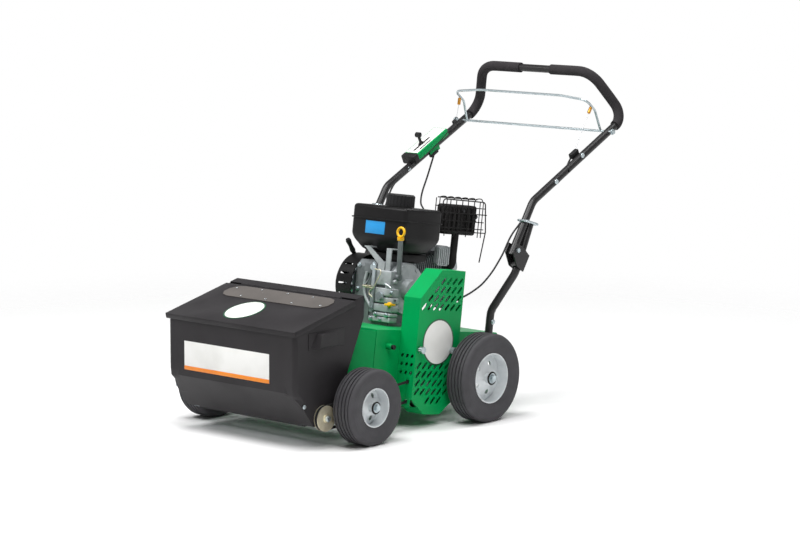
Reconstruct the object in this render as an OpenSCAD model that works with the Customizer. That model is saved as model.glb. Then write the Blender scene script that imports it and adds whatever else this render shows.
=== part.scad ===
// Walk-behind lawn overseeder: pitched chassis with an engine, slitting reel and belt drive,
// a seed box with a hinged lid at the front, four wheels and a folding handle.
// Millimetres. +Z is up, the seed box faces -Y, the belt cover is on +X.
// Chassis pieces are drawn level, measured from the rear axle, and then pitched nose up about it.

/* [Stance] */
// Nose-up pitch of the chassis and engine, degrees
frame_pitch = 8; // [6:0.5:9]
// Distance from the front axle to the rear axle
wheelbase = 511; // [500:1:520]

/* [Rear wheels] */
// Rear tyre outer diameter
rear_tyre_d = 279.4; // [270:0.1:290]
// Rear tyre width
rear_tyre_w = 80; // [75:1:84]
// Distance between the rear tyre centre planes
rear_track = 722; // [718:1:730]
// Rear rim diameter at the tyre bead
rear_rim_d = 158; // [140:1:170]
// Rear axle journal diameter
rear_axle_d = 19; // [16:0.5:22]

/* [Front wheels] */
// Front tyre outer diameter
front_tyre_d = 233; // [220:1:240]
// Front tyre width
front_tyre_w = 82; // [70:1:86]
// Distance between the front tyre centre planes
front_track = 663; // [658:1:680]
// Front rim diameter at the tyre bead
front_rim_d = 119; // [105:1:130]
// Front axle journal diameter
front_axle_d = 16; // [12:0.5:18]

/* [Chassis] */
// Overall width across the side plates
chassis_w = 464; // [456:1:466]
// Thickness of the chassis plates
plate_t = 4; // [3:0.5:5]
// Height of the deck top above the rear axle
deck_z = 129; // [125:1:135]
// Distance from the rear axle forward to the front of the side plates
chassis_front = 378; // [365:1:390]
// Distance from the rear axle back to the rear end of the deck
chassis_rear = 197; // [185:1:205]
// Inward turn of the plates' front ends towards the seed box, degrees
toe_angle = 20; // [15:1:24]

/* [Belt cover] */
// Belt cover length along the machine
cover_l = 203; // [198:1:208]
// Belt cover height
cover_h = 450; // [440:1:460]
// Belt cover depth out from the side plate
cover_d = 68; // [66:1:70]
// Belt cover sheet thickness
cover_wall = 2.5; // [2:0.5:3]
// Cooling slot length end to end
slot_l = 29; // [24:1:32]
// Cooling slot width
slot_w = 9; // [6:0.5:11]
// Cooling slot spacing
slot_pitch = 27; // [26:0.5:30]

/* [Reel] */
// Cutting diameter of the slitting blades
blade_d = 200; // [180:1:210]
// Number of slitting blades
blade_count = 11; // [7:2:13]
// Thickness of a slitting blade
blade_t = 3; // [2:0.5:4]
// Reel shaft diameter
reel_shaft_d = 25; // [20:1:30]
// Reel pulley outer diameter
reel_pulley_d = 158; // [140:1:166]

/* [Engine] */
// Height of the crankshaft above the deck
crank_h = 118; // [114:1:122]
// Crankcase width along the crankshaft
crankcase_w = 134; // [126:1:140]
// Crankcase barrel diameter round the crankshaft
crankcase_d = 152; // [144:1:158]
// Drive pulley outer diameter
drive_pulley_d = 88; // [78:1:96]
// Output shaft diameter
output_d = 19; // [16:0.5:22]
// Recoil starter housing diameter
recoil_d = 196; // [190:1:202]
// Cylinder slope above the deck, degrees
cylinder_slope = 20; // [16:1:22]
// Number of cooling fins
fin_count = 12; // [8:1:14]
// Fuel tank size across the machine
tank_w = 226; // [215:1:232]
// Fuel tank size along the machine
tank_l = 180; // [170:1:184]
// Fuel tank height
tank_h = 131; // [122:1:136]
// Fuel cap diameter
cap_d = 92; // [80:1:100]
// Muffler length along the machine
muffler_l = 188; // [175:1:192]
// Muffler height
muffler_h = 97; // [85:1:102]
// Muffler width across the machine
muffler_w = 102; // [92:1:104]

/* [Seed box] */
// Distance from the rear axle forward to the lid's front edge
box_reach = 766; // [755:1:775]
// Seed box width across the machine
box_w = 536; // [520:1:540]
// Height of the seed box front panel's foot above the ground
box_bend_z = 178; // [165:1:190]
// Height of the seed box floor above the ground
box_floor_z = 70; // [66:1:76]
// Seed box sheet thickness
box_wall = 2; // [1.5:0.5:3]
// Corner radius of the seed box's front edges
box_corner_r = 45; // [30:1:60]
// Lid depth from the hinge to the front edge
lid_l = 279; // [270:1:285]
// Slope of the lid down to the front, degrees
lid_slope = 13.7; // [11:0.1:15]
// Lid sheet thickness
lid_t = 3; // [2:0.5:4]
// Depth of the lid's turned-down rim
lid_rim = 15; // [10:1:20]
// Length of the seed window in the lid
window_l = 444; // [400:1:470]
// Width of the seed window in the lid
window_w = 84; // [70:1:90]
// Seed pulley outer diameter
seed_pulley_d = 78; // [66:1:84]

/* [Handle] */
// Distance between the handle legs
handle_w = 626; // [622:1:640]
// Handle tube diameter
tube_d = 25.4; // [22:0.2:28]
// Handle tube wall
tube_wall = 2; // [1.5:0.5:3]
// Foam grip diameter
grip_d = 34; // [31:1:36]
// Height of the top bar above the ground
top_bar_z = 1054; // [1035:1:1075]
// Bail wire diameter
bail_d = 8; // [6:0.5:9]
// Bail width across the machine
bail_w = 576; // [560:1:578]
// Bail height from its pivot
bail_h = 116; // [105:1:125]
// Control cable diameter
cable_d = 6; // [5:0.5:7]

/* [Hidden] */
$fn = 48;
// How far every cut runs past the face that it opens
overrun = 1;
// Running clearance of a shaft in its bore
run_fit = 0.05;
// Gap between neighbouring pieces that move past each other
clear = 0.5;
// Gap between pieces that rest against each other
seat_gap = 0.3;

// Colours of the finishes
green = "#1F9E68";
black = "#3A3839";
box_grey = "#464346";
rubber_grey = "#4A4A4D";
rim_grey = "#B5BABA";
zinc = "#A9B9BC";
yellow_zinc = "#D8C9A0";
cast_grey = "#8E9296";
signal_yellow = "#F9C315";

// Geometry helpers

function unit(v) = v / norm(v);
// Points along an arc about c, from angle a0 to a1
function arc(c, r, a0, a1, n) = [for (i = [0 : n]) c + r * [cos(a0 + (a1 - a0) * i / n), sin(a0 + (a1 - a0) * i / n)]];
// Inward normal of an edge of a counter-clockwise outline
function inward(a, b) = let (d = unit(b - a)) [-d.y, d.x];
// A counter-clockwise outline moved in by d all round
function inset(p, d) = let (n = len(p)) [for (i = [0 : n - 1])
  let (m = inward(p[(i + n - 1) % n], p[i]), k = inward(p[i], p[(i + 1) % n])) p[i] + d * (m + k) / (1 + m * k)];
function round_box(w, h, r) = concat(arc([w / 2 - r, h / 2 - r], r, 0, 90, 6), arc([r - w / 2, h / 2 - r], r, 90, 180, 6),
  arc([r - w / 2, r - h / 2], r, 180, 270, 6), arc([w / 2 - r, r - h / 2], r, 270, 360, 6));

module rounded(w, h, r) {
  polygon(round_box(w, h, r));
}

// A flat shape drawn as (y, z), with its thickness from x0 to x1
module sheet_x(x0, x1) {
  translate([x0, 0, 0])
    rotate([90, 0, 90])
      linear_extrude(x1 - x0)
        children();
}

// A profile drawn as (radius, x), turned about the X axis
module turn_x() {
  rotate([0, 90, 0])
    rotate_extrude()
      children();
}

module bar_x(x0, x1, r) {
  translate([x0, 0, 0])
    rotate([0, 90, 0])
      cylinder(h = x1 - x0, r = r);
}

module at(p) {
  translate([0, p.x, p.y])
    children();
}

module both_sides() {
  children();
  mirror([1, 0, 0])
    children();
}

// A round rod or tube from a to b
module rod(a, b, r, bore_r = 0) {
  d = b - a;
  translate(a)
    rotate([0, acos(d.z / norm(d)), atan2(d.y, d.x)])
      difference() {
        cylinder(h = norm(d), r = r);
        if (bore_r > 0)
          translate([0, 0, -overrun])
            cylinder(h = norm(d) + 2 * overrun, r = bore_r);
      }
}

// A bend that starts at s along u and leaves along w
module bend(s, u, w, bend_r, r) {
  n = unit(w - (u * w) * u);
  x = -n;
  z = cross(x, u);
  c = s + n * bend_r;
  multmatrix([[x.x, u.x, z.x, c.x], [x.y, u.y, z.y, c.y], [x.z, u.z, z.z, c.z], [0, 0, 0, 1]])
    rotate_extrude(angle = acos(u * w))
      translate([bend_r, 0])
        circle(r = r);
}

// Straights and bends meet inside a ball a hair thicker than the tube
ball_out = 0.1;
ball_gap = 0.3;

module run_solid(pts, bend_rs, r, longer) {
  last = len(pts) - 1;
  dirs = [for (i = [0 : last - 1]) unit(pts[i + 1] - pts[i])];
  trims = [for (i = [0 : last]) i == 0 || i == last ? -longer :
    bend_rs[i] * tan(acos(dirs[i - 1] * dirs[i]) / 2)];
  for (i = [0 : last - 1])
    rod(pts[i] + dirs[i] * (trims[i] + (i == 0 ? 0 : ball_gap)),
      pts[i + 1] - dirs[i] * (trims[i + 1] + (i == last - 1 ? 0 : ball_gap)), r);
  for (i = [1 : 1 : last - 1]) {
    bend(pts[i] - dirs[i - 1] * trims[i], dirs[i - 1], dirs[i], bend_rs[i], r);
    for (p = [pts[i] - dirs[i - 1] * trims[i], pts[i] + dirs[i] * trims[i]])
      translate(p)
        sphere(r = r + ball_out);
  }
}

// A tube or wire bent along a run of points, with a bend radius for each
module bent_run(pts, bend_rs, r, bore_r = 0) {
  difference() {
    run_solid(pts, bend_rs, r, 0);
    if (bore_r > 0)
      run_solid(pts, bend_rs, bore_r, overrun);
  }
}

// Points along a run, with an arc of n steps at each bend
function run_path(pts, bend_rs, n) = let (last = len(pts) - 1) [pts[0], for (i = [1 : 1 : last - 1])
  let (u = unit(pts[i] - pts[i - 1]), w = unit(pts[i + 1] - pts[i]), turn = acos(u * w),
    s = pts[i] - u * bend_rs[i] * tan(turn / 2), m = unit(w - (u * w) * u))
    for (k = [0 : n]) s + bend_rs[i] * (m * (1 - cos(turn * k / n)) + u * sin(turn * k / n)), pts[last]];

// A round wire, tube or cable swept through a list of points, its rings carried along without twist
module sweep(p, r, sides, side_dir) {
  m = len(p);
  dirs = [for (i = [0 : m - 1]) unit(p[min(i + 1, m - 1)] - p[max(i - 1, 0)])];
  norms = [for (i = 0, n = unit(cross(dirs[0], side_dir)); i < m;
    i = i + 1, n = i < m ? unit(n - (n * dirs[i]) * dirs[i]) : n) n];
  rings = [for (i = [0 : m - 1]) for (k = [0 : sides - 1])
    p[i] + r * (cos(360 * k / sides) * norms[i] + sin(360 * k / sides) * cross(dirs[i], norms[i]))];
  walls = [for (i = [0 : m - 2]) for (k = [0 : sides - 1])
    let (a = i * sides + k, b = i * sides + (k + 1) % sides) each [[a, a + sides, b], [b, a + sides, b + sides]]];
  ends = [for (k = [1 : sides - 2]) each [[0, k, k + 1], [(m - 1) * sides, (m - 1) * sides + k + 1, (m - 1) * sides + k]]];
  polyhedron(points = rings, faces = concat(walls, ends));
}

// A smooth curve through a cable's route
function curve_at(p, i, t) = let (n = len(p) - 1, a = p[max(i - 1, 0)], b = p[i], c = p[i + 1], d = p[min(i + 2, n)])
  b + t / 2 * (c - a) + t * t * (a - 2.5 * b + 2 * c - d / 2) + t * t * t / 2 * (3 * b - 3 * c + d - a);
function smooth(p, steps) = concat([for (i = [0 : len(p) - 2]) for (k = [0 : steps - 1]) curve_at(p, i, k / steps)],
  [p[len(p) - 1]]);

// A grooved pulley with room for a flat-sided belt, centred on x = 0
module pulley(outer_r, w, bore_r, belt_w, belt_t) {
  turn_x()
    difference() {
      translate([bore_r, -w / 2])
        square([outer_r - bore_r, w]);
      translate([outer_r - belt_t - clear, -belt_w / 2 - clear])
        square([belt_t + clear + overrun, belt_w + 2 * clear]);
    }
}

module belt_disc(c, r) {
  translate(c)
    circle(r = r, $fn = 64);
}

// A belt round two pulleys, its outer face at r1 and r2, drawn as (y, z)
module belt(c1, r1, c2, r2, t) {
  difference() {
    hull() {
      belt_disc(c1, r1);
      belt_disc(c2, r2);
    }
    hull() {
      belt_disc(c1, r1 - t);
      belt_disc(c2, r2 - t);
    }
  }
}

// Where things stand: pairs are (y back, z up), measured in the pitched frame of the rear axle
rear_r = rear_tyre_d / 2;
front_r = front_tyre_d / 2;
half_w = chassis_w / 2;
plate_in = half_w - plate_t;
deck_low = deck_z - plate_t;
reel_p = [-163, -35];
crank_p = [-115, deck_z + crank_h];

// From the pitched frame to the level one, with the ground at zero, and back
function to_level(p) = [p.x * cos(frame_pitch) + p.y * sin(frame_pitch),
  rear_r - p.x * sin(frame_pitch) + p.y * cos(frame_pitch)];
function to_frame(p) = [p.x * cos(frame_pitch) - (p.y - rear_r) * sin(frame_pitch),
  p.x * sin(frame_pitch) + (p.y - rear_r) * cos(frame_pitch)];

front_axle_p = to_frame([-wheelbase, front_r]);

// Handle outline, level: fold pivot, knee, heel and top bar
pivot_p = [204, 517];
knee_p = [301, 664];
heel_p = [784, 904];
top_p = [705, top_bar_z];
tube_r = tube_d / 2;
handle_x = handle_w / 2;
top_inset = 81;
knee_r = 60;
heel_r = 55;
corner_r = 82;
bend_steps = 8;
bare_half = 65;
grip_more = 2;
// The risers lean in towards the top bar
top_x = handle_x - top_inset;
first_dir = unit(knee_p - pivot_p);
leg_dir = unit(heel_p - knee_p);
riser_dir = unit([top_x - handle_x, top_p.x - heel_p.x, top_p.y - heel_p.y]);
heel_start = heel_p - leg_dir * heel_r * tan(acos([leg_dir.x, leg_dir.y] * [riser_dir.y, riser_dir.z]) / 2);
back_reach = max([for (p = grip_path(0)) p.y]) + grip_d / 2;

// The rear axle stands where the whole machine is centred front to back
rear_axle_y = (box_reach - back_reach) / 2;

module level() {
  translate([0, rear_axle_y, 0])
    children();
}

module pitched() {
  translate([0, rear_axle_y, rear_r])
    rotate([-frame_pitch, 0, 0])
      children();
}

// Seed box outline, level
lid_front_p = [-box_reach, 366];
lid_dir = [cos(lid_slope), sin(lid_slope)];
lid_up = [-lid_dir.y, lid_dir.x];
hinge_p = lid_front_p + lid_dir * lid_l - lid_up * lid_t / 2;
box_front = 758.5;
box_back_low = [-597, box_floor_z];
box_back_top = [-457, 373];
box_toe = [-680, box_floor_z];
box_half = box_w / 2;
agitator_p = [-640, box_floor_z + 22];
// Height of the lid's underside at a given y
function under_lid(y) = (lid_front_p - lid_up * lid_t).y + (y - (lid_front_p - lid_up * lid_t).x) * tan(lid_slope);

// Seed box rear wall in the pitched frame
wall_low = to_frame(box_back_low);
wall_high = to_frame(box_back_top);
function wall_y(z) = wall_low.x + (z - wall_low.y) * (wall_high.x - wall_low.x) / (wall_high.y - wall_low.y);

// Green side plates with the toed-in panels that carry the seed box
plate_low = 80;
plate_step = 40;
rear_drop = 55;
boss_r = 60;
arm_r = 34;
arm_share = 0.9;
arm_neck = [-400, -115];
arm_back = [-400, -40];
panel_foot = -10;
wall_flange = 24;
weld_gap = 0.2;
panel_start = weld_gap + plate_t * tan(toe_angle);
// How far a toed-in panel runs to the flange, at a given height
function panel_l(z) = -(wall_y(z) + plate_t + weld_gap + chassis_front) / cos(toe_angle);

module plate_shape() {
  difference() {
    union() {
      polygon([[-chassis_front, deck_low], [chassis_rear, deck_low], [chassis_rear, deck_low - rear_drop],
        [boss_r, -plate_step], [-boss_r, -plate_step], [-boss_r - plate_step, -plate_low],
        [arm_neck.x + 2 * arm_r, -plate_low], arm_neck, [front_axle_p.x, front_axle_p.y - arm_share * arm_r],
        [front_axle_p.x, front_axle_p.y + arm_share * arm_r], arm_back, [-chassis_front, panel_foot]]);
      translate(front_axle_p)
        circle(r = arm_r);
    }
    circle(d = rear_axle_d);
    translate(front_axle_p)
      circle(d = front_axle_d);
    translate(reel_p)
      circle(d = reel_shaft_d + 2 * clear);
  }
}

module toe_panel() {
  translate([half_w - clear, -chassis_front, 0])
    rotate([0, 0, -toe_angle])
      mirror([0, 1, 0])
        sheet_x(-plate_t, 0)
          polygon([[panel_start, deck_low], [panel_l(deck_low), deck_low],
            [panel_l(panel_foot), panel_foot], [panel_start, panel_foot]]);
  flange_x = half_w + (wall_y((deck_low + panel_foot) / 2) + chassis_front) * tan(toe_angle);
  sheet_x(flange_x - wall_flange / 2, flange_x + wall_flange / 2)
    polygon([[wall_y(deck_low) + weld_gap, deck_low], [wall_y(deck_low) + plate_t, deck_low],
      [wall_y(panel_foot) + plate_t, panel_foot], [wall_y(panel_foot) + weld_gap, panel_foot]]);
}

module side_plates() {
  color(green)
    pitched()
      both_sides() {
        sheet_x(plate_in, half_w)
          plate_shape();
        toe_panel();
      }
  color(green)
    pitched()
      at(idler_pivot)
        bar_x(half_w - overrun, idler_arm_x + 2 * idler_arm_t, idler_stud_r);
}

// Engine deck with its rear flange
deck_flange = 40;
deck_bend_r = 6;

module engine_deck() {
  color(green)
    pitched()
      sheet_x(-half_w, half_w)
        polygon(concat([[-chassis_front, deck_low]], [[-chassis_front, deck_z]],
          arc([chassis_rear + deck_bend_r, deck_z - deck_bend_r], deck_bend_r, 90, 0, 6),
          [[chassis_rear + 2 * deck_bend_r, deck_z - deck_flange]],
          [[chassis_rear + 2 * deck_bend_r - plate_t, deck_z - deck_flange]],
          arc([chassis_rear + deck_bend_r, deck_z - deck_bend_r], deck_bend_r - plate_t, 0, 90, 4)));
}

// Cross plate that closes the front of the chassis
module front_shield() {
  color(green)
    pitched()
      translate([-plate_in, -chassis_front, panel_foot])
        cube([2 * plate_in, plate_t, deck_low - panel_foot]);
}

// Vented belt cover: corner cuts, rows of slanting slots, openings for belt and cable
cover_back = -62;
cover_top = 325;
cover_front = cover_back - cover_l;
cover_foot = cover_top - cover_h;
cover_out = half_w + cover_d;
crown_cut = 90;
toe_cut = 47;
foot_l = 75;
cover_outline = [[cover_back, cover_foot + toe_cut], [cover_back, cover_top], [cover_front + crown_cut, cover_top],
  [cover_front, cover_top - crown_cut], [cover_front, cover_foot + toe_cut],
  [cover_front + (cover_l - foot_l) / 2, cover_foot], [cover_back - (cover_l - foot_l) / 2, cover_foot]];
slot_edge = 20;
slot_top = 34;
slot_tilt = 45;
top_rows = [4, 5, 6, 7];
low_top = 298;
low_rows = [7, 7, 7, 7, 3];
low_steps = [0, 0, 0, 0, 2];
vent_z = [2, 28, 54];
vent_x = [-20, 0, 20];
belt_window = [-105, -5];
belt_window_w = 32;
seed_belt_x = 277;
cable_hole = [276, 230];
knob_p = [[-250, 76], [-98, 76]];
stud_r = 4;

module slot(l, w) {
  polygon(concat(arc([(l - w) / 2, 0], w / 2, -90, 90, 5), arc([(w - l) / 2, 0], w / 2, 90, 270, 5)));
}

module cover_slots() {
  for (row = [0 : len(top_rows) - 1])
    for (i = [0 : top_rows[row] - 1])
      translate([cover_back - slot_edge - i * slot_pitch, cover_top - slot_top - row * slot_pitch])
        rotate(slot_tilt)
          slot(slot_l, slot_w);
  for (row = [0 : len(low_rows) - 1])
    for (i = [0 : low_rows[row] - 1])
      translate([cover_back - slot_edge - (i + low_steps[row]) * slot_pitch, cover_top - low_top - row * slot_pitch])
        rotate(slot_tilt)
          slot(slot_l, slot_w);
}

module belt_cover() {
  color(green)
    pitched()
      difference() {
        sheet_x(half_w, cover_out)
          polygon(cover_outline);
        sheet_x(half_w - overrun, cover_out - cover_wall)
          polygon(inset(cover_outline, cover_wall));
        sheet_x(cover_out - cover_wall - overrun, cover_out + overrun)
          cover_slots();
        for (x = vent_x, z = vent_z)
          translate([half_w + cover_d / 2 + x, cover_front, z])
            rotate([90, 0, 0])
              linear_extrude(2 * cover_wall + overrun, center = true)
                rotate(slot_tilt)
                  slot(slot_l / 2, slot_w);
        translate([seed_belt_x - belt_window_w / 2, cover_front - overrun, belt_window[0]])
          cube([belt_window_w, toe_cut, belt_window[1] - belt_window[0]]);
        translate([cable_hole.x, cover_back + overrun, cable_hole.y])
          rotate([90, 0, 0])
            cylinder(h = cover_wall + 2 * overrun, d = 2 * cable_d);
        for (p = knob_p)
          at(p)
            bar_x(cover_out - cover_wall - overrun, cover_out + overrun, stud_r + clear);
      }
}

// Hand screws of the belt cover on their studs
knob_r = 11;
knob_h = 14;
knob_collar_r = 7;
knob_collar = 5;
knob_notches = 8;
notch_r = 3;

module cover_knobs() {
  color(zinc)
    pitched()
      for (p = knob_p)
        at(p) {
          bar_x(half_w, cover_out + knob_collar, stud_r);
          difference() {
            union() {
              bar_x(cover_out, cover_out + knob_collar + overrun, knob_collar_r);
              bar_x(cover_out + knob_collar, cover_out + knob_collar + knob_h, knob_r);
            }
            for (i = [0 : knob_notches - 1])
              rotate([360 * i / knob_notches, 0, 0])
                translate([0, knob_r + notch_r / 2, 0])
                  bar_x(cover_out + knob_collar - overrun, cover_out + knob_collar + knob_h + overrun, notch_r);
          }
        }
}

// Flanged bearings of the reel shaft, inside the plates
bearing_r = 34;
bearing_w = 16;
bearing_flange_r = 44;
bearing_flange = 5;

module shaft_bearings() {
  color(cast_grey)
    pitched()
      both_sides()
        at(reel_p)
          turn_x()
            translate([reel_shaft_d / 2 + run_fit, 0])
              polygon([[0, plate_in - bearing_w], [bearing_r - reel_shaft_d, plate_in - bearing_w],
                [bearing_r - reel_shaft_d / 2, plate_in - bearing_flange],
                [bearing_flange_r - reel_shaft_d / 2, plate_in - bearing_flange],
                [bearing_flange_r - reel_shaft_d / 2, plate_in], [0, plate_in]]);
}

// Fixed axles with collars inside the wheels and end nuts
hub_share = 0.86;
collar_h = 3;
nut_h = 10;
nut_w = 27;
front_nut_w = 23;
washer_t = 2;
hub_gap = 0.6;

// Half length of a wheel's hub
function hub_half(tyre_w) = tyre_w * hub_share / 2;

module axle(d, track, tyre_w, nut_d) {
  hub_in = track / 2 - hub_half(tyre_w) - hub_gap;
  hub_out = track / 2 + hub_half(tyre_w) + hub_gap;
  bar_x(-hub_out - nut_h, hub_out + nut_h, d / 2);
  both_sides() {
    bar_x(half_w, hub_in, d / 2 + collar_h);
    bar_x(hub_out, hub_out + washer_t, nut_d / 2 + collar_h);
    bar_x(hub_out + washer_t, hub_out + nut_h - washer_t, nut_d / 2, $fn = 6);
  }
}

module wheel_axles() {
  color(zinc)
    pitched() {
      axle(rear_axle_d, rear_track, rear_tyre_w, nut_w);
      at(front_axle_p)
        axle(front_axle_d, front_track, front_tyre_w, front_nut_w);
    }
}

// Seed box: folded sheet with rounded front corners, open under the lid, drop holes in its floor
box_plan_back = -450;
strip_start = 6;
knuckle_r = 5;
knuckle_l = 60;
knuckle_count = 7;
pin_r = 3;
pad_y = [-699, -546];
pad_z = [305, 352];
pad_t = 1.5;
drop_count = 8;
drop_pitch = 62;
drop_l = 26;
drop_w = 10;
gate_gap = 0.3;
gate_t = 3.2;
gate_w = 58;
rail_t = 2;
rail_lip = 8;
agitator_r = 6;
bush_r = 14;
bush_l = 12;
strip_l = (box_back_top.x - hinge_p.x) / lid_dir.x;

// Side outline of the box, counter-clockwise from the front top
box_side = [[-box_front, under_lid(-box_front) - seat_gap], [-box_front, box_bend_z], box_toe, box_back_low, box_back_top,
  [box_back_top.x, under_lid(box_back_top.x)], [hinge_p.x, under_lid(hinge_p.x)], [hinge_p.x, under_lid(hinge_p.x) - seat_gap]];

// Plan of a sheet with two rounded front corners
function front_plan(half, front, back, r) = concat([[half, back], [-half, back]], arc([r - half, front + r], r, 180, 270, 8),
  arc([half - r, front + r], r, 270, 360, 8));

module on_lid() {
  level()
    at(hinge_p)
      rotate([lid_slope, 0, 0])
        children();
}

// The hinge knuckles with an even or an odd place in the row
module knuckles(first, bore_r, leaf) {
  for (i = [first : 2 : knuckle_count - 1])
    translate([(i - knuckle_count / 2) * knuckle_l + seat_gap, 0, 0])
      difference() {
        union() {
          bar_x(0, knuckle_l - 2 * seat_gap, knuckle_r);
          translate([0, min(leaf, 0), -lid_t / 2])
            cube([knuckle_l - 2 * seat_gap, abs(leaf), lid_t]);
        }
        bar_x(-overrun, knuckle_l + overrun, bore_r);
      }
}

module drop_holes(shift) {
  for (i = [0 : drop_count - 1])
    translate([(i - (drop_count - 1) / 2) * drop_pitch + shift, agitator_p.x])
      slot(drop_l, drop_w);
}

module seed_box() {
  color(box_grey) {
    level() {
      difference() {
        union() {
          intersection() {
            sheet_x(-box_half, box_half)
              polygon(box_side);
            linear_extrude(lid_front_p.y + lid_l)
              polygon(front_plan(box_half, -box_front, box_plan_back, box_corner_r));
          }
          both_sides()
            translate([box_half - overrun, pad_y[0], pad_z[0]])
              cube([pad_t + overrun, pad_y[1] - pad_y[0], pad_z[1] - pad_z[0]]);
        }
        intersection() {
          sheet_x(box_wall - box_half, box_half - box_wall)
            polygon([[box_wall - box_front, hinge_p.y + lid_l], [box_wall - box_front, box_bend_z + box_wall / 2],
              [box_toe.x + box_wall / 2, box_floor_z + box_wall], [box_back_low.x - box_wall, box_floor_z + box_wall],
              [box_back_top.x - box_wall, box_back_top.y + box_wall], [box_back_top.x - box_wall, hinge_p.y + lid_l]]);
          linear_extrude(hinge_p.y + lid_l)
            polygon(front_plan(box_half - box_wall, box_wall - box_front, box_plan_back, box_corner_r - box_wall));
        }
        linear_extrude(box_floor_z + 2 * box_wall)
          drop_holes(0);
        at(agitator_p)
          bar_x(-box_half - overrun, box_half + overrun, agitator_r + run_fit);
      }
      both_sides() {
        at(agitator_p)
          turn_x()
            translate([agitator_r + run_fit, box_half - box_wall - bush_l])
              square([bush_r - agitator_r, bush_l + overrun]);
        gate_rail(1);
        gate_rail(-1);
      }
    }
    on_lid() {
      translate([-box_half, strip_start, -lid_t / 2])
        cube([2 * box_half, strip_l - strip_start, lid_t]);
      knuckles(0, pin_r, strip_start + overrun);
    }
  }
}

// Half of a rail under the floor that holds the gate, on the front or the back of it
module gate_rail(side) {
  translate([0, agitator_p.x, 0])
    mirror([0, side > 0 ? 0 : 1, 0])
      sheet_x(0, box_half - box_corner_r)
        polygon([[gate_w / 2 + gate_gap, box_floor_z + overrun], [gate_w / 2 + gate_gap, box_floor_z - 2 * gate_gap - gate_t],
          [gate_w / 2 - rail_lip, box_floor_z - 2 * gate_gap - gate_t],
          [gate_w / 2 - rail_lip, box_floor_z - 2 * gate_gap - gate_t - rail_t],
          [gate_w / 2 + gate_gap + rail_t, box_floor_z - 2 * gate_gap - gate_t - rail_t],
          [gate_w / 2 + gate_gap + rail_t, box_floor_z + overrun]]);
}

module hinge_pin() {
  color(zinc)
    on_lid()
      bar_x(-knuckle_count / 2 * knuckle_l - clear, knuckle_count / 2 * knuckle_l + clear, pin_r);
}

// Sheet lid with turned-down rims and a long slot under the window
lid_half = box_half + 5.5;
rim_t = 2.5;
window_y = -58;
window_margin = 12;

module lid() {
  color(box_grey)
    on_lid() {
      difference() {
        translate([0, 0, -lid_rim])
          linear_extrude(lid_rim + lid_t / 2)
            polygon(front_plan(lid_half, -lid_l, -strip_start, box_corner_r));
        translate([0, 0, -lid_rim - overrun])
          linear_extrude(lid_rim + overrun - lid_t / 2)
            polygon(front_plan(lid_half - rim_t, rim_t - lid_l, 0, box_corner_r - rim_t));
        translate([0, window_y, -lid_t])
          linear_extrude(2 * lid_t)
            slot(window_l - 2 * window_margin, window_w - 2 * window_margin);
      }
      knuckles(1, pin_r + run_fit, -strip_start - overrun);
    }
}

// Clear strip riveted over the slot in the lid
window_t = 2;

module lid_window() {
  color(cast_grey)
    on_lid()
      translate([0, window_y, lid_t / 2])
        linear_extrude(window_t)
          slot(window_l, window_w);
}

// Seed roller over the drop holes, with its pulley and the sliding gate below the floor
star_r = 17;
star_root_r = 9;
star_points = 8;
star_w = 22;
shaft_tip = 10;

module seed_agitator() {
  color(zinc)
    level()
      at(agitator_p) {
        bar_x(-box_half - shaft_tip, seed_belt_x + seed_pulley_w / 2 + shaft_tip, agitator_r);
        for (i = [0 : drop_count - 1])
          translate([(i - (drop_count - 1) / 2) * drop_pitch, 0, 0])
            sheet_x(-star_w / 2, star_w / 2)
              polygon([for (k = [0 : 2 * star_points - 1])
                (k % 2 == 0 ? star_r : star_root_r) * [cos(180 * k / star_points), sin(180 * k / star_points)]]);
      }
}

seed_belt_w = 9;
seed_belt_t = 6;
seed_pulley_w = 16;
reel_seed_d = 64;
drive_belt_x = 250;
drive_belt_w = 13;
drive_belt_t = 8;
drive_pulley_w = 16;
belt_proud = 0.1;

module seed_pulley() {
  color(yellow_zinc)
    level()
      at(agitator_p)
        translate([seed_belt_x, 0, 0])
          pulley(seed_pulley_d / 2, seed_pulley_w, agitator_r, seed_belt_w, seed_belt_t);
}

gate_travel = 28;
gate_half = 250;

module seed_gate() {
  color(zinc)
    level()
      translate([0, 0, box_floor_z - gate_gap - gate_t])
        linear_extrude(gate_t)
          difference() {
            translate([-gate_half, agitator_p.x - gate_w / 2])
              square([2 * gate_half - gate_travel, gate_w]);
            drop_holes(-gate_travel);
          }
}

// Belts, each in its own plane
module drive_belt() {
  color(rubber_grey)
    pitched()
      sheet_x(drive_belt_x - drive_belt_w / 2, drive_belt_x + drive_belt_w / 2)
        belt(crank_p, drive_pulley_d / 2, reel_p, reel_pulley_d / 2, drive_belt_t);
}

module seed_belt() {
  color(rubber_grey)
    level()
      sheet_x(seed_belt_x - seed_belt_w / 2, seed_belt_x + seed_belt_w / 2)
        belt(agitator_p, seed_pulley_d / 2 - belt_proud, to_level(reel_p), reel_seed_d / 2 - belt_proud, seed_belt_t);
}

// Cutting reel: shaft, three-pointed blades with spacers, pulleys
blade_pitch = 36;
blade_waist = 34;
spacer_r = 21;
shaft_left = 252;
shaft_right = 290;
blade_step = 11;

module reel_shaft() {
  color(zinc)
    pitched()
      at(reel_p)
        bar_x(-shaft_left, shaft_right, reel_shaft_d / 2);
}

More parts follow.
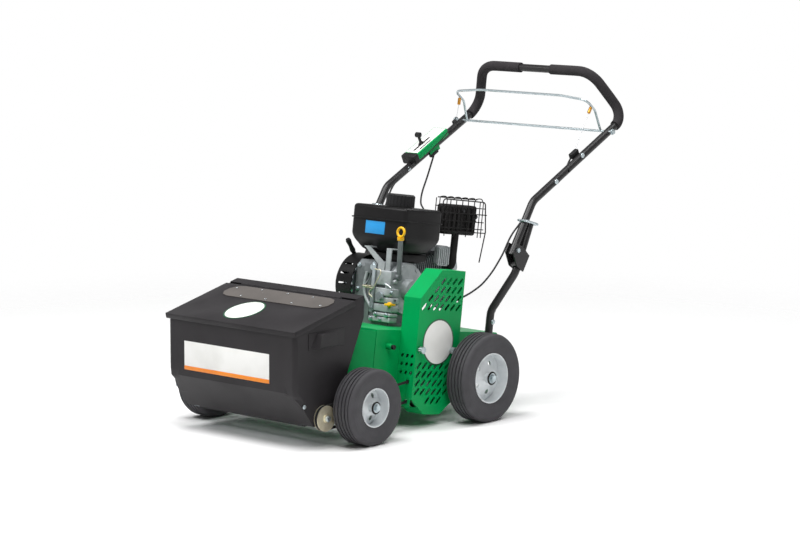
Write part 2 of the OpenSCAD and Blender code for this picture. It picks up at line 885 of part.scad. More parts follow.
module reel_blades() {
  color(cast_grey)
    pitched()
      at(reel_p) {
        span = (blade_count - 1) * blade_pitch / 2;
        turn_x()
          translate([reel_shaft_d / 2, -span - blade_pitch / 2])
            square([spacer_r - reel_shaft_d / 2, 2 * span + blade_pitch]);
        for (i = [0 : blade_count - 1])
          translate([i * blade_pitch - span, 0, 0])
            rotate([blade_step * i, 0, 0])
              sheet_x(-blade_t / 2, blade_t / 2)
                difference() {
                  polygon([for (k = [0 : 5]) (k % 2 == 0 ? blade_d / 2 : blade_waist) * [cos(60 * k), sin(60 * k)]]);
                  circle(r = (spacer_r + reel_shaft_d / 2) / 2);
                }
      }
}

module reel_pulleys() {
  color(zinc)
    pitched()
      at(reel_p) {
        translate([drive_belt_x, 0, 0])
          pulley(reel_pulley_d / 2, drive_pulley_w, reel_shaft_d / 2, drive_belt_w, drive_belt_t);
        translate([seed_belt_x, 0, 0])
          pulley(reel_seed_d / 2, seed_pulley_w, reel_shaft_d / 2, seed_belt_w, seed_belt_t);
      }
}

// Wheels: ribbed tyres on dished rims
shoulder_r = 14;
wheel_bead_share = 0.8;
tyre_wall = 9;
tyre_crown = 14;
rib_gap = 5;
rib_d = 4;
rib_shares = [0.5, 0.25, 0, -0.25, -0.5];
barrel_t = 3;
barrel_lip = 3;
disc_t = 4;
disc_share = 0.35;
hub_wall = 7;
rim_holes = 5;
rim_hole_share = 0.6;
rim_hole_d = 15;

function tyre_side(r, w, rim_r) = let (bead = w * wheel_bead_share / 2) concat(
  [for (i = [0 : 4]) [rim_r + i / 5 * (r - shoulder_r - rim_r), bead + (w / 2 - bead) * sin(18 * i)]],
  arc([r - shoulder_r, w / 2 - shoulder_r], shoulder_r, 90, 0, 5));
function flipped(p) = [for (i = [len(p) - 1 : -1 : 0]) [p[i].x, -p[i].y]];

module tyre(r, w, rim_r) {
  side = tyre_side(r, w, rim_r);
  bead = w * wheel_bead_share / 2 - tyre_wall;
  ribs = [for (k = rib_shares) each [[r, k * (w - 2 * shoulder_r) + rib_gap / 2], [r - rib_d, k * (w - 2 * shoulder_r) + rib_gap / 2],
    [r - rib_d, k * (w - 2 * shoulder_r) - rib_gap / 2], [r, k * (w - 2 * shoulder_r) - rib_gap / 2]]];
  turn_x()
    polygon(concat(side, ribs, flipped(side), [[rim_r, -bead], [r - tyre_crown, -bead], [r - tyre_crown, bead], [rim_r, bead]]));
}

module rim(rim_r, tyre_w, axle_d, side) {
  bead = tyre_w * wheel_bead_share / 2 + barrel_lip;
  bore_r = axle_d / 2 + run_fit;
  disc_x = side * tyre_w * disc_share / 2;
  difference() {
    turn_x() {
      translate([rim_r - barrel_t, -bead])
        square([barrel_t, 2 * bead]);
      translate([bore_r, -hub_half(tyre_w)])
        square([hub_wall, 2 * hub_half(tyre_w)]);
      polygon([[bore_r + hub_wall / 2, disc_x], [rim_r - barrel_t / 2, -disc_x / 2],
        [rim_r - barrel_t / 2, disc_t - disc_x / 2], [bore_r + hub_wall / 2, disc_x + disc_t]]);
    }
    for (i = [0 : rim_holes - 1])
      rotate([360 * i / rim_holes, 0, 0])
        translate([0, rim_r * rim_hole_share, 0])
          bar_x(-bead, bead, rim_hole_d / 2);
  }
}

module rear_wheel_place(side) {
  pitched()
    translate([side * rear_track / 2, 0, 0])
      children();
}

module front_wheel_place(side) {
  pitched()
    at(front_axle_p)
      translate([side * front_track / 2, 0, 0])
        children();
}

module front_tyre_left() {
  color(rubber_grey)
    front_wheel_place(-1)
      tyre(front_r, front_tyre_w, front_rim_d / 2);
}

module front_tyre_right() {
  color(rubber_grey)
    front_wheel_place(1)
      tyre(front_r, front_tyre_w, front_rim_d / 2);
}

module rear_tyre_left() {
  color(rubber_grey)
    rear_wheel_place(-1)
      tyre(rear_r, rear_tyre_w, rear_rim_d / 2);
}

module rear_tyre_right() {
  color(rubber_grey)
    rear_wheel_place(1)
      tyre(rear_r, rear_tyre_w, rear_rim_d / 2);
}

module front_rim_left() {
  color(rim_grey)
    front_wheel_place(-1)
      rim(front_rim_d / 2, front_tyre_w, front_axle_d, -1);
}

module front_rim_right() {
  color(rim_grey)
    front_wheel_place(1)
      rim(front_rim_d / 2, front_tyre_w, front_axle_d, 1);
}

module rear_rim_left() {
  color(rim_grey)
    rear_wheel_place(-1)
      rim(rear_rim_d / 2, rear_tyre_w, rear_axle_d, -1);
}

module rear_rim_right() {
  color(rim_grey)
    rear_wheel_place(1)
      rim(rear_rim_d / 2, rear_tyre_w, rear_axle_d, 1);
}

// Engine, in the pitched frame; the cylinder leans back from the crank
case_x = [-42, crankcase_w - 42];
case_y = [-190, crankcase_d - 190];
case_top = 329;
case_cut = 20;
engine_x = (case_x[0] + case_x[1]) / 2;
cylinder_start = 80;
cylinder_half = 70;
foot_out = 16;
foot_h = 10;
case_rib = 5;
case_rib_x = [-25, 0, 25];
case_rib_z = [150, 250];
lever_pivot = [45, 180];
lever_stud_r = 4;
lever_y = case_y[0] - 13;
lever_t = 3;
cylinder_dir = [cos(cylinder_slope), sin(cylinder_slope)];
cylinder_up = [-cylinder_dir.y, cylinder_dir.x];
joint_p = crank_p + cylinder_start * cylinder_dir;
joint_low = joint_p - cylinder_half * cylinder_up;
joint_high = joint_p + cylinder_up * (case_top - joint_p.y) / cylinder_up.y;

module on_cylinder() {
  pitched()
    at(crank_p)
      translate([engine_x, 0, 0])
        rotate([cylinder_slope, 0, 0])
          children();
}

// A block with rounded edges, from y0 to y1
module block_y(w, h, r, y0, y1) {
  translate([0, y0, 0])
    rotate([-90, 0, 0])
      linear_extrude(y1 - y0)
        rounded(w, h, r);
}

module crankcase() {
  color(cast_grey)
    pitched() {
      difference() {
        union() {
          sheet_x(case_x[0], case_x[1])
            polygon([[case_y[0], deck_z], [case_y[1], deck_z], joint_low, joint_high, [case_y[0] + case_cut, case_top],
              [case_y[0], case_top - case_cut]]);
          translate([case_x[0] - foot_out, case_y[0], deck_z])
            cube([crankcase_w + 2 * foot_out, crankcase_d, foot_h]);
          for (x = case_rib_x)
            translate([engine_x + x - case_rib / 2, case_y[0] - case_rib, case_rib_z[0]])
              cube([case_rib, case_rib + overrun, case_rib_z[1] - case_rib_z[0]]);
        }
        at(crank_p)
          bar_x(case_x[0] - overrun, case_x[1] + overrun, output_d / 2 + run_fit);
      }
      translate([lever_pivot.x, case_y[0] + overrun, lever_pivot.y])
        rotate([90, 0, 0])
          cylinder(h = case_y[0] + overrun - lever_y + 2 * lever_t, r = lever_stud_r);
    }
}

// Bolted side cover with the output boss
cover_plate_r = 84;
cover_plate_t = 20;
boss_out_r = 30;
boss_out = 43;
cover_bolts = 6;
cover_bolt_r = 5;
cover_bolt_h = 4;
cover_bolt_edge = 9;

module crankcase_cover() {
  color(cast_grey)
    pitched()
      at(crank_p) {
        turn_x()
          polygon([[output_d / 2 + run_fit, case_x[1]], [cover_plate_r, case_x[1]],
            [cover_plate_r, case_x[1] + cover_plate_t / 2], [cover_plate_r - case_rib, case_x[1] + cover_plate_t],
            [boss_out_r + case_rib, case_x[1] + cover_plate_t], [boss_out_r, case_x[1] + boss_out],
            [output_d / 2 + run_fit, case_x[1] + boss_out]]);
        for (i = [0 : cover_bolts - 1])
          rotate([360 * i / cover_bolts, 0, 0])
            translate([0, cover_plate_r - case_rib - cover_bolt_edge, 0])
              bar_x(case_x[1] + cover_plate_t - overrun, case_x[1] + cover_plate_t + cover_bolt_h, cover_bolt_r, $fn = 6);
      }
}

// Finned barrel and head, and the rocker cover on its end
barrel_r = 44;
fin_w = 124;
fin_h = 120;
fin_t = 3;
fin_start = 92;
fin_end = 196;
head_start = 205;
head_end = 265;
head_w = 100;
head_h = 112;
head_r = 10;
head_fin = 4;
head_fin_out = 6;
head_fins = 4;
rocker_w = 92;
rocker_h = 84;
rocker_out = 30;
rocker_r = 20;
rocker_rim = 6;

module engine_cylinder() {
  color(cast_grey)
    on_cylinder() {
      rotate([-90, 0, 0])
        translate([0, 0, cylinder_start])
          cylinder(h = head_start - cylinder_start + overrun, r = barrel_r);
      for (i = [0 : fin_count - 1])
        block_y(fin_w, fin_h, head_r, fin_start + i * (fin_end - fin_start) / (fin_count - 1),
          fin_start + i * (fin_end - fin_start) / (fin_count - 1) + fin_t);
      block_y(head_w, head_h, head_r, head_start, head_end);
      for (i = [0 : head_fins - 1])
        block_y(head_w + 2 * head_fin_out, head_h, head_r, head_start + (i + 1) * (head_end - head_start) / (head_fins + 1),
          head_start + (i + 1) * (head_end - head_start) / (head_fins + 1) + head_fin);
    }
}

module rocker_cover() {
  color(zinc)
    on_cylinder() {
      block_y(rocker_w + rocker_rim, rocker_h + rocker_rim, rocker_r, head_end, head_end + rocker_rim);
      block_y(rocker_w, rocker_h, rocker_r, head_end + rocker_rim - overrun, head_end + rocker_out);
    }
}

// Ribbed cover beside the fins
shroud_y = [30, 88];
shroud_z = [327, 390];
shroud_t = 13;
shroud_ribs = 6;
shroud_rib = 5;
shroud_rib_out = 5;

module cylinder_shroud() {
  color(cast_grey)
    pitched()
      translate([engine_x + fin_w / 2, 0, 0]) {
        sheet_x(0, shroud_t)
          translate([(shroud_y[0] + shroud_y[1]) / 2, (shroud_z[0] + shroud_z[1]) / 2])
            rounded(shroud_y[1] - shroud_y[0], shroud_z[1] - shroud_z[0], head_r);
        for (i = [0 : shroud_ribs - 1])
          translate([shroud_t - overrun, shroud_y[0] + head_r / 2 + i * (shroud_y[1] - shroud_y[0] - head_r) / (shroud_ribs - 1)
            - shroud_rib / 2, shroud_z[0] + shroud_rib])
            cube([shroud_rib_out + overrun, shroud_rib, shroud_z[1] - shroud_z[0] - 2 * shroud_rib]);
      }
}

// Muffler with a seam, end caps and the elbow down to the head
muffler_p = [112 - muffler_w / 2, 12, 430];
muffler_r = 26;
seam_out = 4;
seam_t = 5;
end_in = 6;
pipe_r = 12;
pipe_bend = 20;
pipe_x = 102;
pipe_y = 235;
flange_t = 6;
flange_r = 19;
port_p = crank_p + cylinder_dir * pipe_y;

module muffler() {
  color(black)
    pitched() {
      translate([muffler_p.x, muffler_p.y, muffler_p.z + muffler_h / 2]) {
        block_y(muffler_w - 2 * end_in, muffler_h - 2 * end_in, muffler_r - end_in, 0, muffler_l);
        block_y(muffler_w, muffler_h, muffler_r, end_in, muffler_l - end_in);
      }
      sweep(run_path([in_x(engine_x + head_w / 2 + head_fin_out, port_p), in_x(pipe_x, port_p),
        [pipe_x, port_p.x, muffler_p.z + end_in]], [0, pipe_bend, 0], bend_steps), pipe_r, tube_sides, [0, 1, 0]);
      at(port_p)
        bar_x(engine_x + head_w / 2 + head_fin_out, engine_x + head_w / 2 + flange_t + head_fin_out, flange_r);
    }
}

// Wire guard beside the muffler, on short stand-offs
guard_x = 118;
guard_r = 2;
bar_r = 1.7;
guard_path = [[14, 441], [14, 543], [226, 541], [240, 445], [222, 345]];
guard_bars = [50, 110, 170];
guard_low = 441;
guard_bend = 12;
guard_feet = [[60, 500], [160, 500]];

module muffler_guard() {
  color(black)
    pitched() {
      bent_run([for (p = guard_path) in_x(guard_x, p)], [for (p = guard_path) guard_bend], guard_r);
      for (z = [guard_low, guard_feet[0].y])
        rod([guard_x, guard_path[0].x, z], [guard_x, guard_path[3].x - guard_r, z], bar_r);
      for (y = guard_bars)
        rod([guard_x + bar_r / 2, y, guard_low], [guard_x + bar_r / 2, y, guard_path[1].y - bar_r], bar_r);
      for (p = guard_feet)
        at(p)
          bar_x(muffler_p.x + muffler_w / 2, guard_x, bar_r);
    }
}

// Recoil starter housing: a cup with face and rim slots and an eyelet for the rope
recoil_r = recoil_d / 2;
recoil_out = -118;
recoil_wall = 2.5;
recoil_edge = 12;
face_slots = 14;
face_slot_l = 30;
face_slot_r = 62;
face_hub_r = 36;
face_hub = 4;
rim_slots = 18;
rim_slot_w = 7;
rim_slot_x = [-96, -60];
rope_x = -108;
rope_r = 2.5;
rope_dir = [-0.64, 0.768];
rope_p = [-123, 326];
eyelet_r = 7;
eyelet = [16, 25];

module recoil_housing() {
  color(black)
    pitched() {
      difference() {
        union() {
          at(crank_p)
            turn_x()
              polygon([[0, recoil_out - face_hub], [face_hub_r, recoil_out - face_hub], [face_hub_r + face_hub, recoil_out],
                [recoil_r - recoil_edge, recoil_out], [recoil_r, recoil_out + recoil_edge], [recoil_r, case_x[0]],
                [recoil_r - recoil_wall, case_x[0]], [recoil_r - recoil_wall, recoil_out + recoil_edge + recoil_wall / 2],
                [recoil_r - recoil_edge - recoil_wall / 2, recoil_out + recoil_wall], [0, recoil_out + recoil_wall]]);
          rod([rope_x, rope_p.x + rope_dir.x * eyelet[0], rope_p.y + rope_dir.y * eyelet[0]],
            [rope_x, rope_p.x + rope_dir.x * eyelet[1], rope_p.y + rope_dir.y * eyelet[1]], eyelet_r);
        }
        rod([rope_x, rope_p.x, rope_p.y], [rope_x, rope_p.x + rope_dir.x * recoil_r, rope_p.y + rope_dir.y * recoil_r],
          rope_r + clear);
        at(crank_p) {
          for (i = [0 : face_slots - 1])
            rotate([360 * i / face_slots, 0, 0])
              sheet_x(recoil_out - overrun, recoil_out + recoil_wall + overrun)
                translate([face_slot_r, 0])
                  slot(face_slot_l, rim_slot_w);
          for (i = [0 : rim_slots - 1])
            if (i < 3 || i > 6)
              rotate([360 * i / rim_slots, 0, 0])
                translate([rim_slot_x[0], recoil_r - 2 * recoil_wall, -rim_slot_w / 2])
                  cube([rim_slot_x[1] - rim_slot_x[0], 3 * recoil_wall, rim_slot_w]);
        }
      }
    }
}

// Pull grip on its rope, in line with the eyelet
grip_start = 26;
grip_end = 78;
grip_r = 9;
grip_waist_r = 7;
rope_in = 42;

module starter_grip() {
  color(black)
    pitched()
      translate([rope_x, rope_p.x, rope_p.y])
        rotate([acos(rope_dir.y), 0, 0])
          rotate_extrude()
            polygon([[0, -rope_in], [rope_r, -rope_in], [rope_r, grip_start], [grip_waist_r, grip_start],
              [grip_r, grip_start + grip_waist_r], [grip_waist_r, (grip_start + grip_end) / 2], [grip_r, grip_end - grip_waist_r],
              [grip_waist_r, grip_end], [0, grip_end]]);
}

// Fuel tank of two pressed halves with a seam flange and a filler neck
tank_x = [-96, tank_w - 96];
tank_y = [-176, tank_l - 176];
tank_z = 373;
tank_plan_r = 24;
tank_edge_r = 18;
tank_wall = 3;
tank_seam_z = 450;
tank_seam = 5;
tank_seam_out = 6;
neck_r = 30;
neck_bore_r = 26;
neck_h = 12;
cap_p = [37, -101];

// A tank solid rounded in plan, front and side
module tank_solid(wall) {
  c = [(tank_x[0] + tank_x[1]) / 2, (tank_y[0] + tank_y[1]) / 2];
  w = tank_w - 2 * wall;
  l = tank_l - 2 * wall;
  h = tank_h - 2 * wall;
  translate([c.x, c.y, tank_z + tank_h / 2])
    intersection() {
      linear_extrude(h, center = true)
        rounded(w, l, tank_plan_r - wall);
      rotate([90, 0, 0])
        linear_extrude(l + overrun, center = true)
          rounded(w + overrun, h, tank_edge_r - wall);
      rotate([90, 0, 90])
        linear_extrude(w + overrun, center = true)
          rounded(l + overrun, h, tank_edge_r - wall);
    }
}

module fuel_tank() {
  color(black)
    pitched()
      difference() {
        union() {
          tank_solid(0);
          translate([(tank_x[0] + tank_x[1]) / 2, (tank_y[0] + tank_y[1]) / 2, tank_seam_z])
            linear_extrude(tank_seam)
              rounded(tank_w + 2 * tank_seam_out, tank_l + 2 * tank_seam_out, tank_plan_r + tank_seam_out);
          translate([cap_p.x, cap_p.y, tank_z + tank_h - tank_wall])
            cylinder(h = neck_h + tank_wall, r = neck_r);
        }
        tank_solid(tank_wall);
        translate([cap_p.x, cap_p.y, tank_z + tank_h / 2])
          cylinder(h = tank_h, r = neck_bore_r);
      }
}

// Brackets from the crankcase to the tank
bracket_t = 4;
bracket_feet = [[63, 28], [128, 20]];
bracket_heads = [[-9, 28], [105, 20]];
bracket_low = 300;
bracket_bend = 325;
bracket_tab = 40;
post_r = 9;
post_p = [[-15, -80], [70, -80]];
tab_x = [-14, 100];

module tank_brackets() {
  color(black)
    pitched() {
      translate([0, case_y[0], 0])
        rotate([90, 0, 0])
          linear_extrude(bracket_t)
            polygon([[tab_x[0], tank_z], [tab_x[0] + bracket_tab / 2, tank_z], [bracket_feet[0].x + bracket_feet[0].y / 2, bracket_bend],
              [bracket_feet[0].x + bracket_feet[0].y / 2, bracket_low], [bracket_feet[0].x - bracket_feet[0].y / 2, bracket_low],
              [bracket_feet[0].x - bracket_feet[0].y / 2, bracket_bend - bracket_t]]);
      translate([0, case_y[0], 0])
        rotate([90, 0, 0])
          linear_extrude(bracket_t)
            polygon([[tab_x[1] - bracket_tab / 2, tank_z], [tab_x[1], tank_z], [tab_x[1], bracket_low],
              [case_x[1] - bracket_tab / 4, bracket_low]]);
      for (x = [tab_x[0], tab_x[1] - bracket_tab / 2])
        translate([x, case_y[0] - bracket_t, tank_z - bracket_t])
          cube([bracket_tab / 2, bracket_tab, bracket_t]);
      for (p = post_p)
        translate([p.x, p.y, case_top])
          cylinder(h = tank_z - case_top, r = post_r);
    }
}

// Ribbed fuel cap over the neck
cap_h = 40;
cap_top_t = 5;
cap_notches = 24;
cap_notch_r = 3;
cap_gap = 1;

module fuel_cap() {
  color(black)
    pitched()
      translate([cap_p.x, cap_p.y, tank_z + tank_h + cap_gap])
        difference() {
          rotate_extrude()
            polygon([[0, neck_h], [neck_r + cap_gap, neck_h], [neck_r + cap_gap, 0], [cap_d / 2, 0],
              [cap_d / 2, cap_h - cap_top_t], [cap_d / 2 - cap_top_t, cap_h], [0, cap_h]]);
          for (i = [0 : cap_notches - 1])
            rotate([0, 0, 360 * i / cap_notches])
              translate([cap_d / 2 + cap_notch_r / 2, 0, -overrun])
                cylinder(h = cap_h - cap_top_t, r = cap_notch_r);
        }
}

// Air cleaner box with a clipped cover, over the carburettor
cleaner_x = [-110, -5];
cleaner_y = [12, 150];
cleaner_z = [425, 530];
cleaner_r = 18;
cleaner_seam = 462;
cleaner_lip = 3;
cleaner_knob_r = 13;
cleaner_knob_h = 9;

module cleaner_slab(grow, z0, z1) {
  translate([(cleaner_x[0] + cleaner_x[1]) / 2, (cleaner_y[0] + cleaner_y[1]) / 2, z0])
    linear_extrude(z1 - z0)
      rounded(cleaner_x[1] - cleaner_x[0] + 2 * grow, cleaner_y[1] - cleaner_y[0] + 2 * grow, cleaner_r + grow);
}

module air_cleaner() {
  color(black)
    pitched() {
      cleaner_slab(-cleaner_lip, cleaner_z[0], cleaner_seam);
      cleaner_slab(0, cleaner_seam, cleaner_z[1] - cleaner_lip);
      cleaner_slab(-cleaner_lip, cleaner_z[1] - cleaner_lip - overrun, cleaner_z[1]);
      translate([(cleaner_x[0] + cleaner_x[1]) / 2, (cleaner_y[0] + cleaner_y[1]) / 2, cleaner_z[1] - overrun])
        cylinder(h = cleaner_knob_h + overrun, r = cleaner_knob_r);
    }
}

carb_x = [-80, -40];
carb_y = [75, 135];
carb_z = [310, 400];
bowl_r = 19;
bowl_h = 16;
intake_r = 13;
horn_r = 17;

module carburettor() {
  color(cast_grey)
    pitched() {
      translate([carb_x[0], carb_y[0], carb_z[0]])
        cube([carb_x[1] - carb_x[0], carb_y[1] - carb_y[0], carb_z[1] - carb_z[0]]);
      translate([(carb_x[0] + carb_x[1]) / 2, (carb_y[0] + carb_y[1]) / 2, 0]) {
        translate([0, 0, carb_z[0] - bowl_h])
          cylinder(h = bowl_h + overrun, r = bowl_r);
        translate([0, 0, carb_z[1] - overrun])
          cylinder(h = cleaner_z[0] - carb_z[1] + overrun, r = horn_r);
      }
      at(port_p)
        bar_x(carb_x[1] - overrun, engine_x - head_w / 2 - head_fin_out, intake_r);
    }
}

// Dipstick and its tube, which stands on the crankcase cover
stick_foot = [121, -172, 285];
stick_head = [131, -191, 402];
stick_dir = unit(stick_head - stick_foot);
stick_tube_r = 8;
stick_bore_r = 5.5;
stick_r = 4;
stick_boss_r = 11;
stick_in = 20;
stick_cap_r = 11;
stick_cap_h = 9;
ring_out_r = 18;
ring_wire_r = 4;

module dipstick_tube() {
  color(black)
    pitched()
      difference() {
        union() {
          rod(stick_foot, stick_head, stick_tube_r);
          translate([case_x[1] + cover_plate_t, stick_foot.y, stick_foot.z])
            rotate([0, 90, 0])
              cylinder(h = stick_foot.x - case_x[1] - cover_plate_t + stick_bore_r, r = stick_boss_r);
        }
        rod(stick_foot + stick_dir * stick_boss_r, stick_head + stick_dir * overrun, stick_bore_r);
      }
}

module dipstick() {
  color(signal_yellow)
    pitched() {
      rod(stick_foot + stick_dir * stick_in, stick_head + stick_dir * stick_cap_h, stick_r);
      rod(stick_head + stick_dir * clear, stick_head + stick_dir * stick_cap_h, stick_cap_r);
      translate(stick_head + stick_dir * (stick_cap_h + ring_out_r - overrun))
        rotate([90, 0, 0])
          rotate_extrude()
            translate([ring_out_r - ring_wire_r, 0])
              circle(r = ring_wire_r);
    }
}

// Oil filler and drain plugs in the front of the crankcase
plug_p = [[78, 222], [-20, 148]];
plug_r = 9;
plug_head_r = 13;
plug_out = 22;
plug_head = 10;
drain_out = 12;

module oil_plugs() {
  color(signal_yellow)
    pitched() {
      translate([plug_p[0].x, case_y[0], plug_p[0].y])
        rotate([90, 0, 0]) {
          cylinder(h = plug_out, r = plug_r);
          translate([0, 0, plug_out - plug_head])
            cylinder(h = plug_head, r = plug_head_r, $fn = 12);
        }
      translate([plug_p[1].x, case_y[0], plug_p[1].y])
        rotate([90, 0, 0])
          cylinder(h = drain_out, r = plug_r, $fn = 6);
    }
}

// Crankshaft with flywheel, drive pulley, idler and governor lever
crank_left = -94;
crank_right = 268;
flywheel_x = [-90, -50];
flywheel_r = 80;
flywheel_t = 8;
flywheel_hub_r = 24;
flywheel_fins = 16;
flywheel_fin_r = 52;
flywheel_fin_t = 4;

module crankshaft() {
  color(zinc)
    pitched()
      at(crank_p) {
        bar_x(crank_left, crank_right, output_d / 2);
        bar_x(flywheel_x[0], flywheel_x[1], flywheel_hub_r);
        bar_x(flywheel_x[1] - flywheel_t, flywheel_x[1], flywheel_r);
        for (i = [0 : flywheel_fins - 1])
          rotate([360 * i / flywheel_fins, 0, 0])
            translate([flywheel_x[0], flywheel_fin_r, -flywheel_fin_t / 2])
              cube([flywheel_x[1] - flywheel_x[0] - overrun, flywheel_r - flywheel_fin_r - overrun, flywheel_fin_t]);
      }
}

module drive_pulley() {
  color(zinc)
    pitched()
      at(crank_p)
        translate([drive_belt_x, 0, 0])
          pulley(drive_pulley_d / 2, drive_pulley_w, output_d / 2, drive_belt_w, drive_belt_t);
}

idler_pivot = [-236, 40];
idler_p = [-218.7, 158.6];
idler_r = 22;
idler_w = 14;
idler_arm_x = 236;
idler_arm_t = 4;
idler_arm_w = 22;
idler_axle_r = 5;
idler_stud_r = 6;

module idler_arm() {
  reach = idler_p - idler_pivot;
  lean = atan2(reach.y, reach.x);
  color(zinc)
    pitched() {
      sheet_x(idler_arm_x, idler_arm_x + idler_arm_t)
        difference() {
          polygon(concat(arc(idler_p, idler_arm_w / 2, lean - 90, lean + 90, 12),
            arc(idler_pivot, idler_arm_w / 2, lean + 90, lean + 270, 12)));
          translate(idler_pivot)
            circle(r = idler_stud_r + run_fit);
        }
      at(idler_p) {
        bar_x(idler_arm_x + overrun, drive_belt_x + idler_w / 2 + idler_arm_t, idler_axle_r);
        bar_x(drive_belt_x - idler_w / 2, drive_belt_x + idler_w / 2, idler_r);
      }
    }
}

lever_low = 168;
lever_high = 312;
lever_w = 12;

module governor_lever() {
  color(zinc)
    pitched()
      difference() {
        translate([lever_pivot.x - lever_w / 2, lever_y - lever_t, lever_low])
          cube([lever_w, lever_t, lever_high - lever_low]);
        translate([lever_pivot.x, lever_y + overrun, lever_pivot.y])
          rotate([90, 0, 0])
            cylinder(h = lever_t + 2 * overrun, r = lever_stud_r + run_fit);
      }
}

// Handle, level. Places on its first leg are (along the leg, across it to the back)
first_back = [first_dir.y, -first_dir.x];
function by_pivot(p) = pivot_p + p.x * first_dir + p.y * first_back;
leg_up = [-leg_dir.y, leg_dir.x];
function by_leg(p) = knee_p + p.x * leg_dir + p.y * leg_up;
function in_x(x, p) = [x, p.x, p.y];
stub_l = 19;
pivot_r = 4;
spare_r = 4.25;
tube_sides = 24;
wire_sides = 10;
spare_p = by_leg([190, 0]);
bail_p = [688, 862];
bail_r = bail_d / 2;

// The bent tube as a list of points, its two ends made longer or shorter
function handle_path(longer) = let (leg = [by_pivot([-stub_l - longer, 0]), knee_p, heel_p])
  run_path([for (p = leg) in_x(handle_x, p), in_x(top_x, top_p), in_x(-top_x, top_p),
    for (i = [2 : -1 : 0]) in_x(-handle_x, leg[i])],
    [0, knee_r, heel_r, corner_r, corner_r, heel_r, knee_r, 0], bend_steps);

module upper_handle() {
  color(black)
    level()
      difference() {
        sweep(handle_path(0), tube_r, tube_sides, [1, 0, 0]);
        sweep(handle_path(overrun), tube_r - tube_wall, tube_sides / 2, [1, 0, 0]);
        both_sides() {
          at(pivot_p)
            bar_x(handle_x - tube_d, handle_x + tube_d, pivot_r + run_fit);
          at(bail_p)
            bar_x(handle_x - tube_d, handle_x + tube_d, bail_r + ball_out + run_fit);
        }
        at(spare_p)
          bar_x(handle_x - tube_d, handle_x + tube_d, spare_r);
      }
}

// Foam grips round the top corners, leaving the middle bare
grip_gap = 0.15;
function grip_path(longer) = run_path([in_x(bare_half - longer, top_p), in_x(top_x, top_p),
  in_x(handle_x, heel_p), in_x(handle_x, heel_start - (grip_more + longer) * leg_dir)],
  [0, corner_r, heel_r, 0], bend_steps);

module grips() {
  color(black)
    level()
      both_sides()
        difference() {
          sweep(grip_path(0), grip_d / 2, tube_sides, [0, 0, 1]);
          sweep(grip_path(overrun), tube_r + grip_gap, tube_sides, [0, 0, 1]);
        }
}

// Lower handle tubes on the outer faces of the side plates
lower_x = half_w + tube_r;
lower_foot = [157, 190];
lower_bend = [176, 316];
lower_join = [214, 441.5];
lower_end = [286.5, 592];
lower_r = 60;

module lower_tube(r, bore_r) {
  bent_run([in_x(lower_x, lower_foot), in_x(lower_x, lower_bend), in_x(handle_x, lower_join), in_x(handle_x, lower_end)],
    [0, lower_r, lower_r, 0], r, bore_r);
}

module lower_handles() {
  color(black)
    level()
      both_sides()
        lower_tube(tube_r, tube_r - tube_wall);
}

// Hinge brackets: two ears round the fold pivot and a block clamped on the lower tube
ear_gap = 0.5;
ear_t = 4;
ear_shape = [[-17, -15], [17, -15], [22, 20], [14, 64], [-44, 64], [-44, 26]];
block_shape = [[12, 25], [12, 62], [-42, 62], [-42, 25]];
clamp_gap = 0.1;

module hinge_brackets() {
  color(black)
    level()
      both_sides() {
        for (x = [handle_x - tube_r - ear_gap - ear_t, handle_x + tube_r + ear_gap])
          sheet_x(x, x + ear_t)
            difference() {
              polygon([for (p = ear_shape) by_pivot(p)]);
              translate(pivot_p)
                circle(r = pivot_r);
            }
        difference() {
          sheet_x(handle_x - tube_r - ear_gap, handle_x + tube_r + ear_gap)
            polygon([for (p = block_shape) by_pivot(p)]);
          rod(in_x(handle_x, lower_join - lower_r * unit(lower_end - lower_join)),
            in_x(handle_x, lower_end), tube_r + clamp_gap);
        }
      }
}

bolt_head_r = 8;
bolt_head = 6;

module hinge_bolts() {
  color(zinc)
    level()
      both_sides()
        at(pivot_p) {
          bar_x(handle_x - tube_r - ear_gap - ear_t - bolt_head, handle_x + tube_r + ear_gap + ear_t + bolt_head, pivot_r);
          bar_x(handle_x + tube_r + ear_gap + ear_t, handle_x + tube_r + ear_gap + ear_t + bolt_head, bolt_head_r, $fn = 6);
          bar_x(handle_x - tube_r - ear_gap - ear_t - bolt_head, handle_x - tube_r - ear_gap - ear_t, bolt_head_r, $fn = 6);
        }
}

// Oval lock rings that slip over both tubes
lock_r = 4;
lock_front = [98, -17];
lock_back = [118, 48];
lock_half = 20;
lock_bend = 14;

module lock_rings() {
  color(zinc)
    level()
      both_sides()
        sweep(run_path([for (p = [[ball_gap, lock_front], [lock_half, lock_front], [lock_half, lock_back],
          [-lock_half, lock_back], [-lock_half, lock_front], [-ball_gap, lock_front]])
            in_x(handle_x + p[0], by_pivot(p[1]))], [0, lock_bend, lock_bend, lock_bend, lock_bend, 0], bend_steps / 2),
          lock_r, wire_sides, [0, 0, 1]);
}

// Bail: a wire loop that turns on the rod through the handle's legs, its arms swept in towards the top
bail_lean = 72;
bail_bends = [0, 30, 22, 90];
bail_tip = 24;
// Shares of its half width, lean and height at the elbow, shoulder and crown
bail_shares = [[1, 0, 0], [0.98, 0.35, 0.6], [0.98, 0.98, 0.91], [0.6, 1, 1]];

module bail() {
  color(zinc)
    level() {
      half = [for (s = bail_shares) [s.x * bail_w / 2, bail_p.x - s.y * bail_lean, bail_p.y + s.z * bail_h]];
      sweep(run_path([each half, for (i = [3 : -1 : 0]) [-half[i].x, half[i].y, half[i].z]],
        [each bail_bends, for (i = [3 : -1 : 0]) bail_bends[i]], bend_steps / 2), bail_r, wire_sides, [1, 0, 0]);
      at(bail_p)
        bar_x(-handle_x - bail_tip, handle_x + bail_tip, bail_r + ball_out);
    }
}

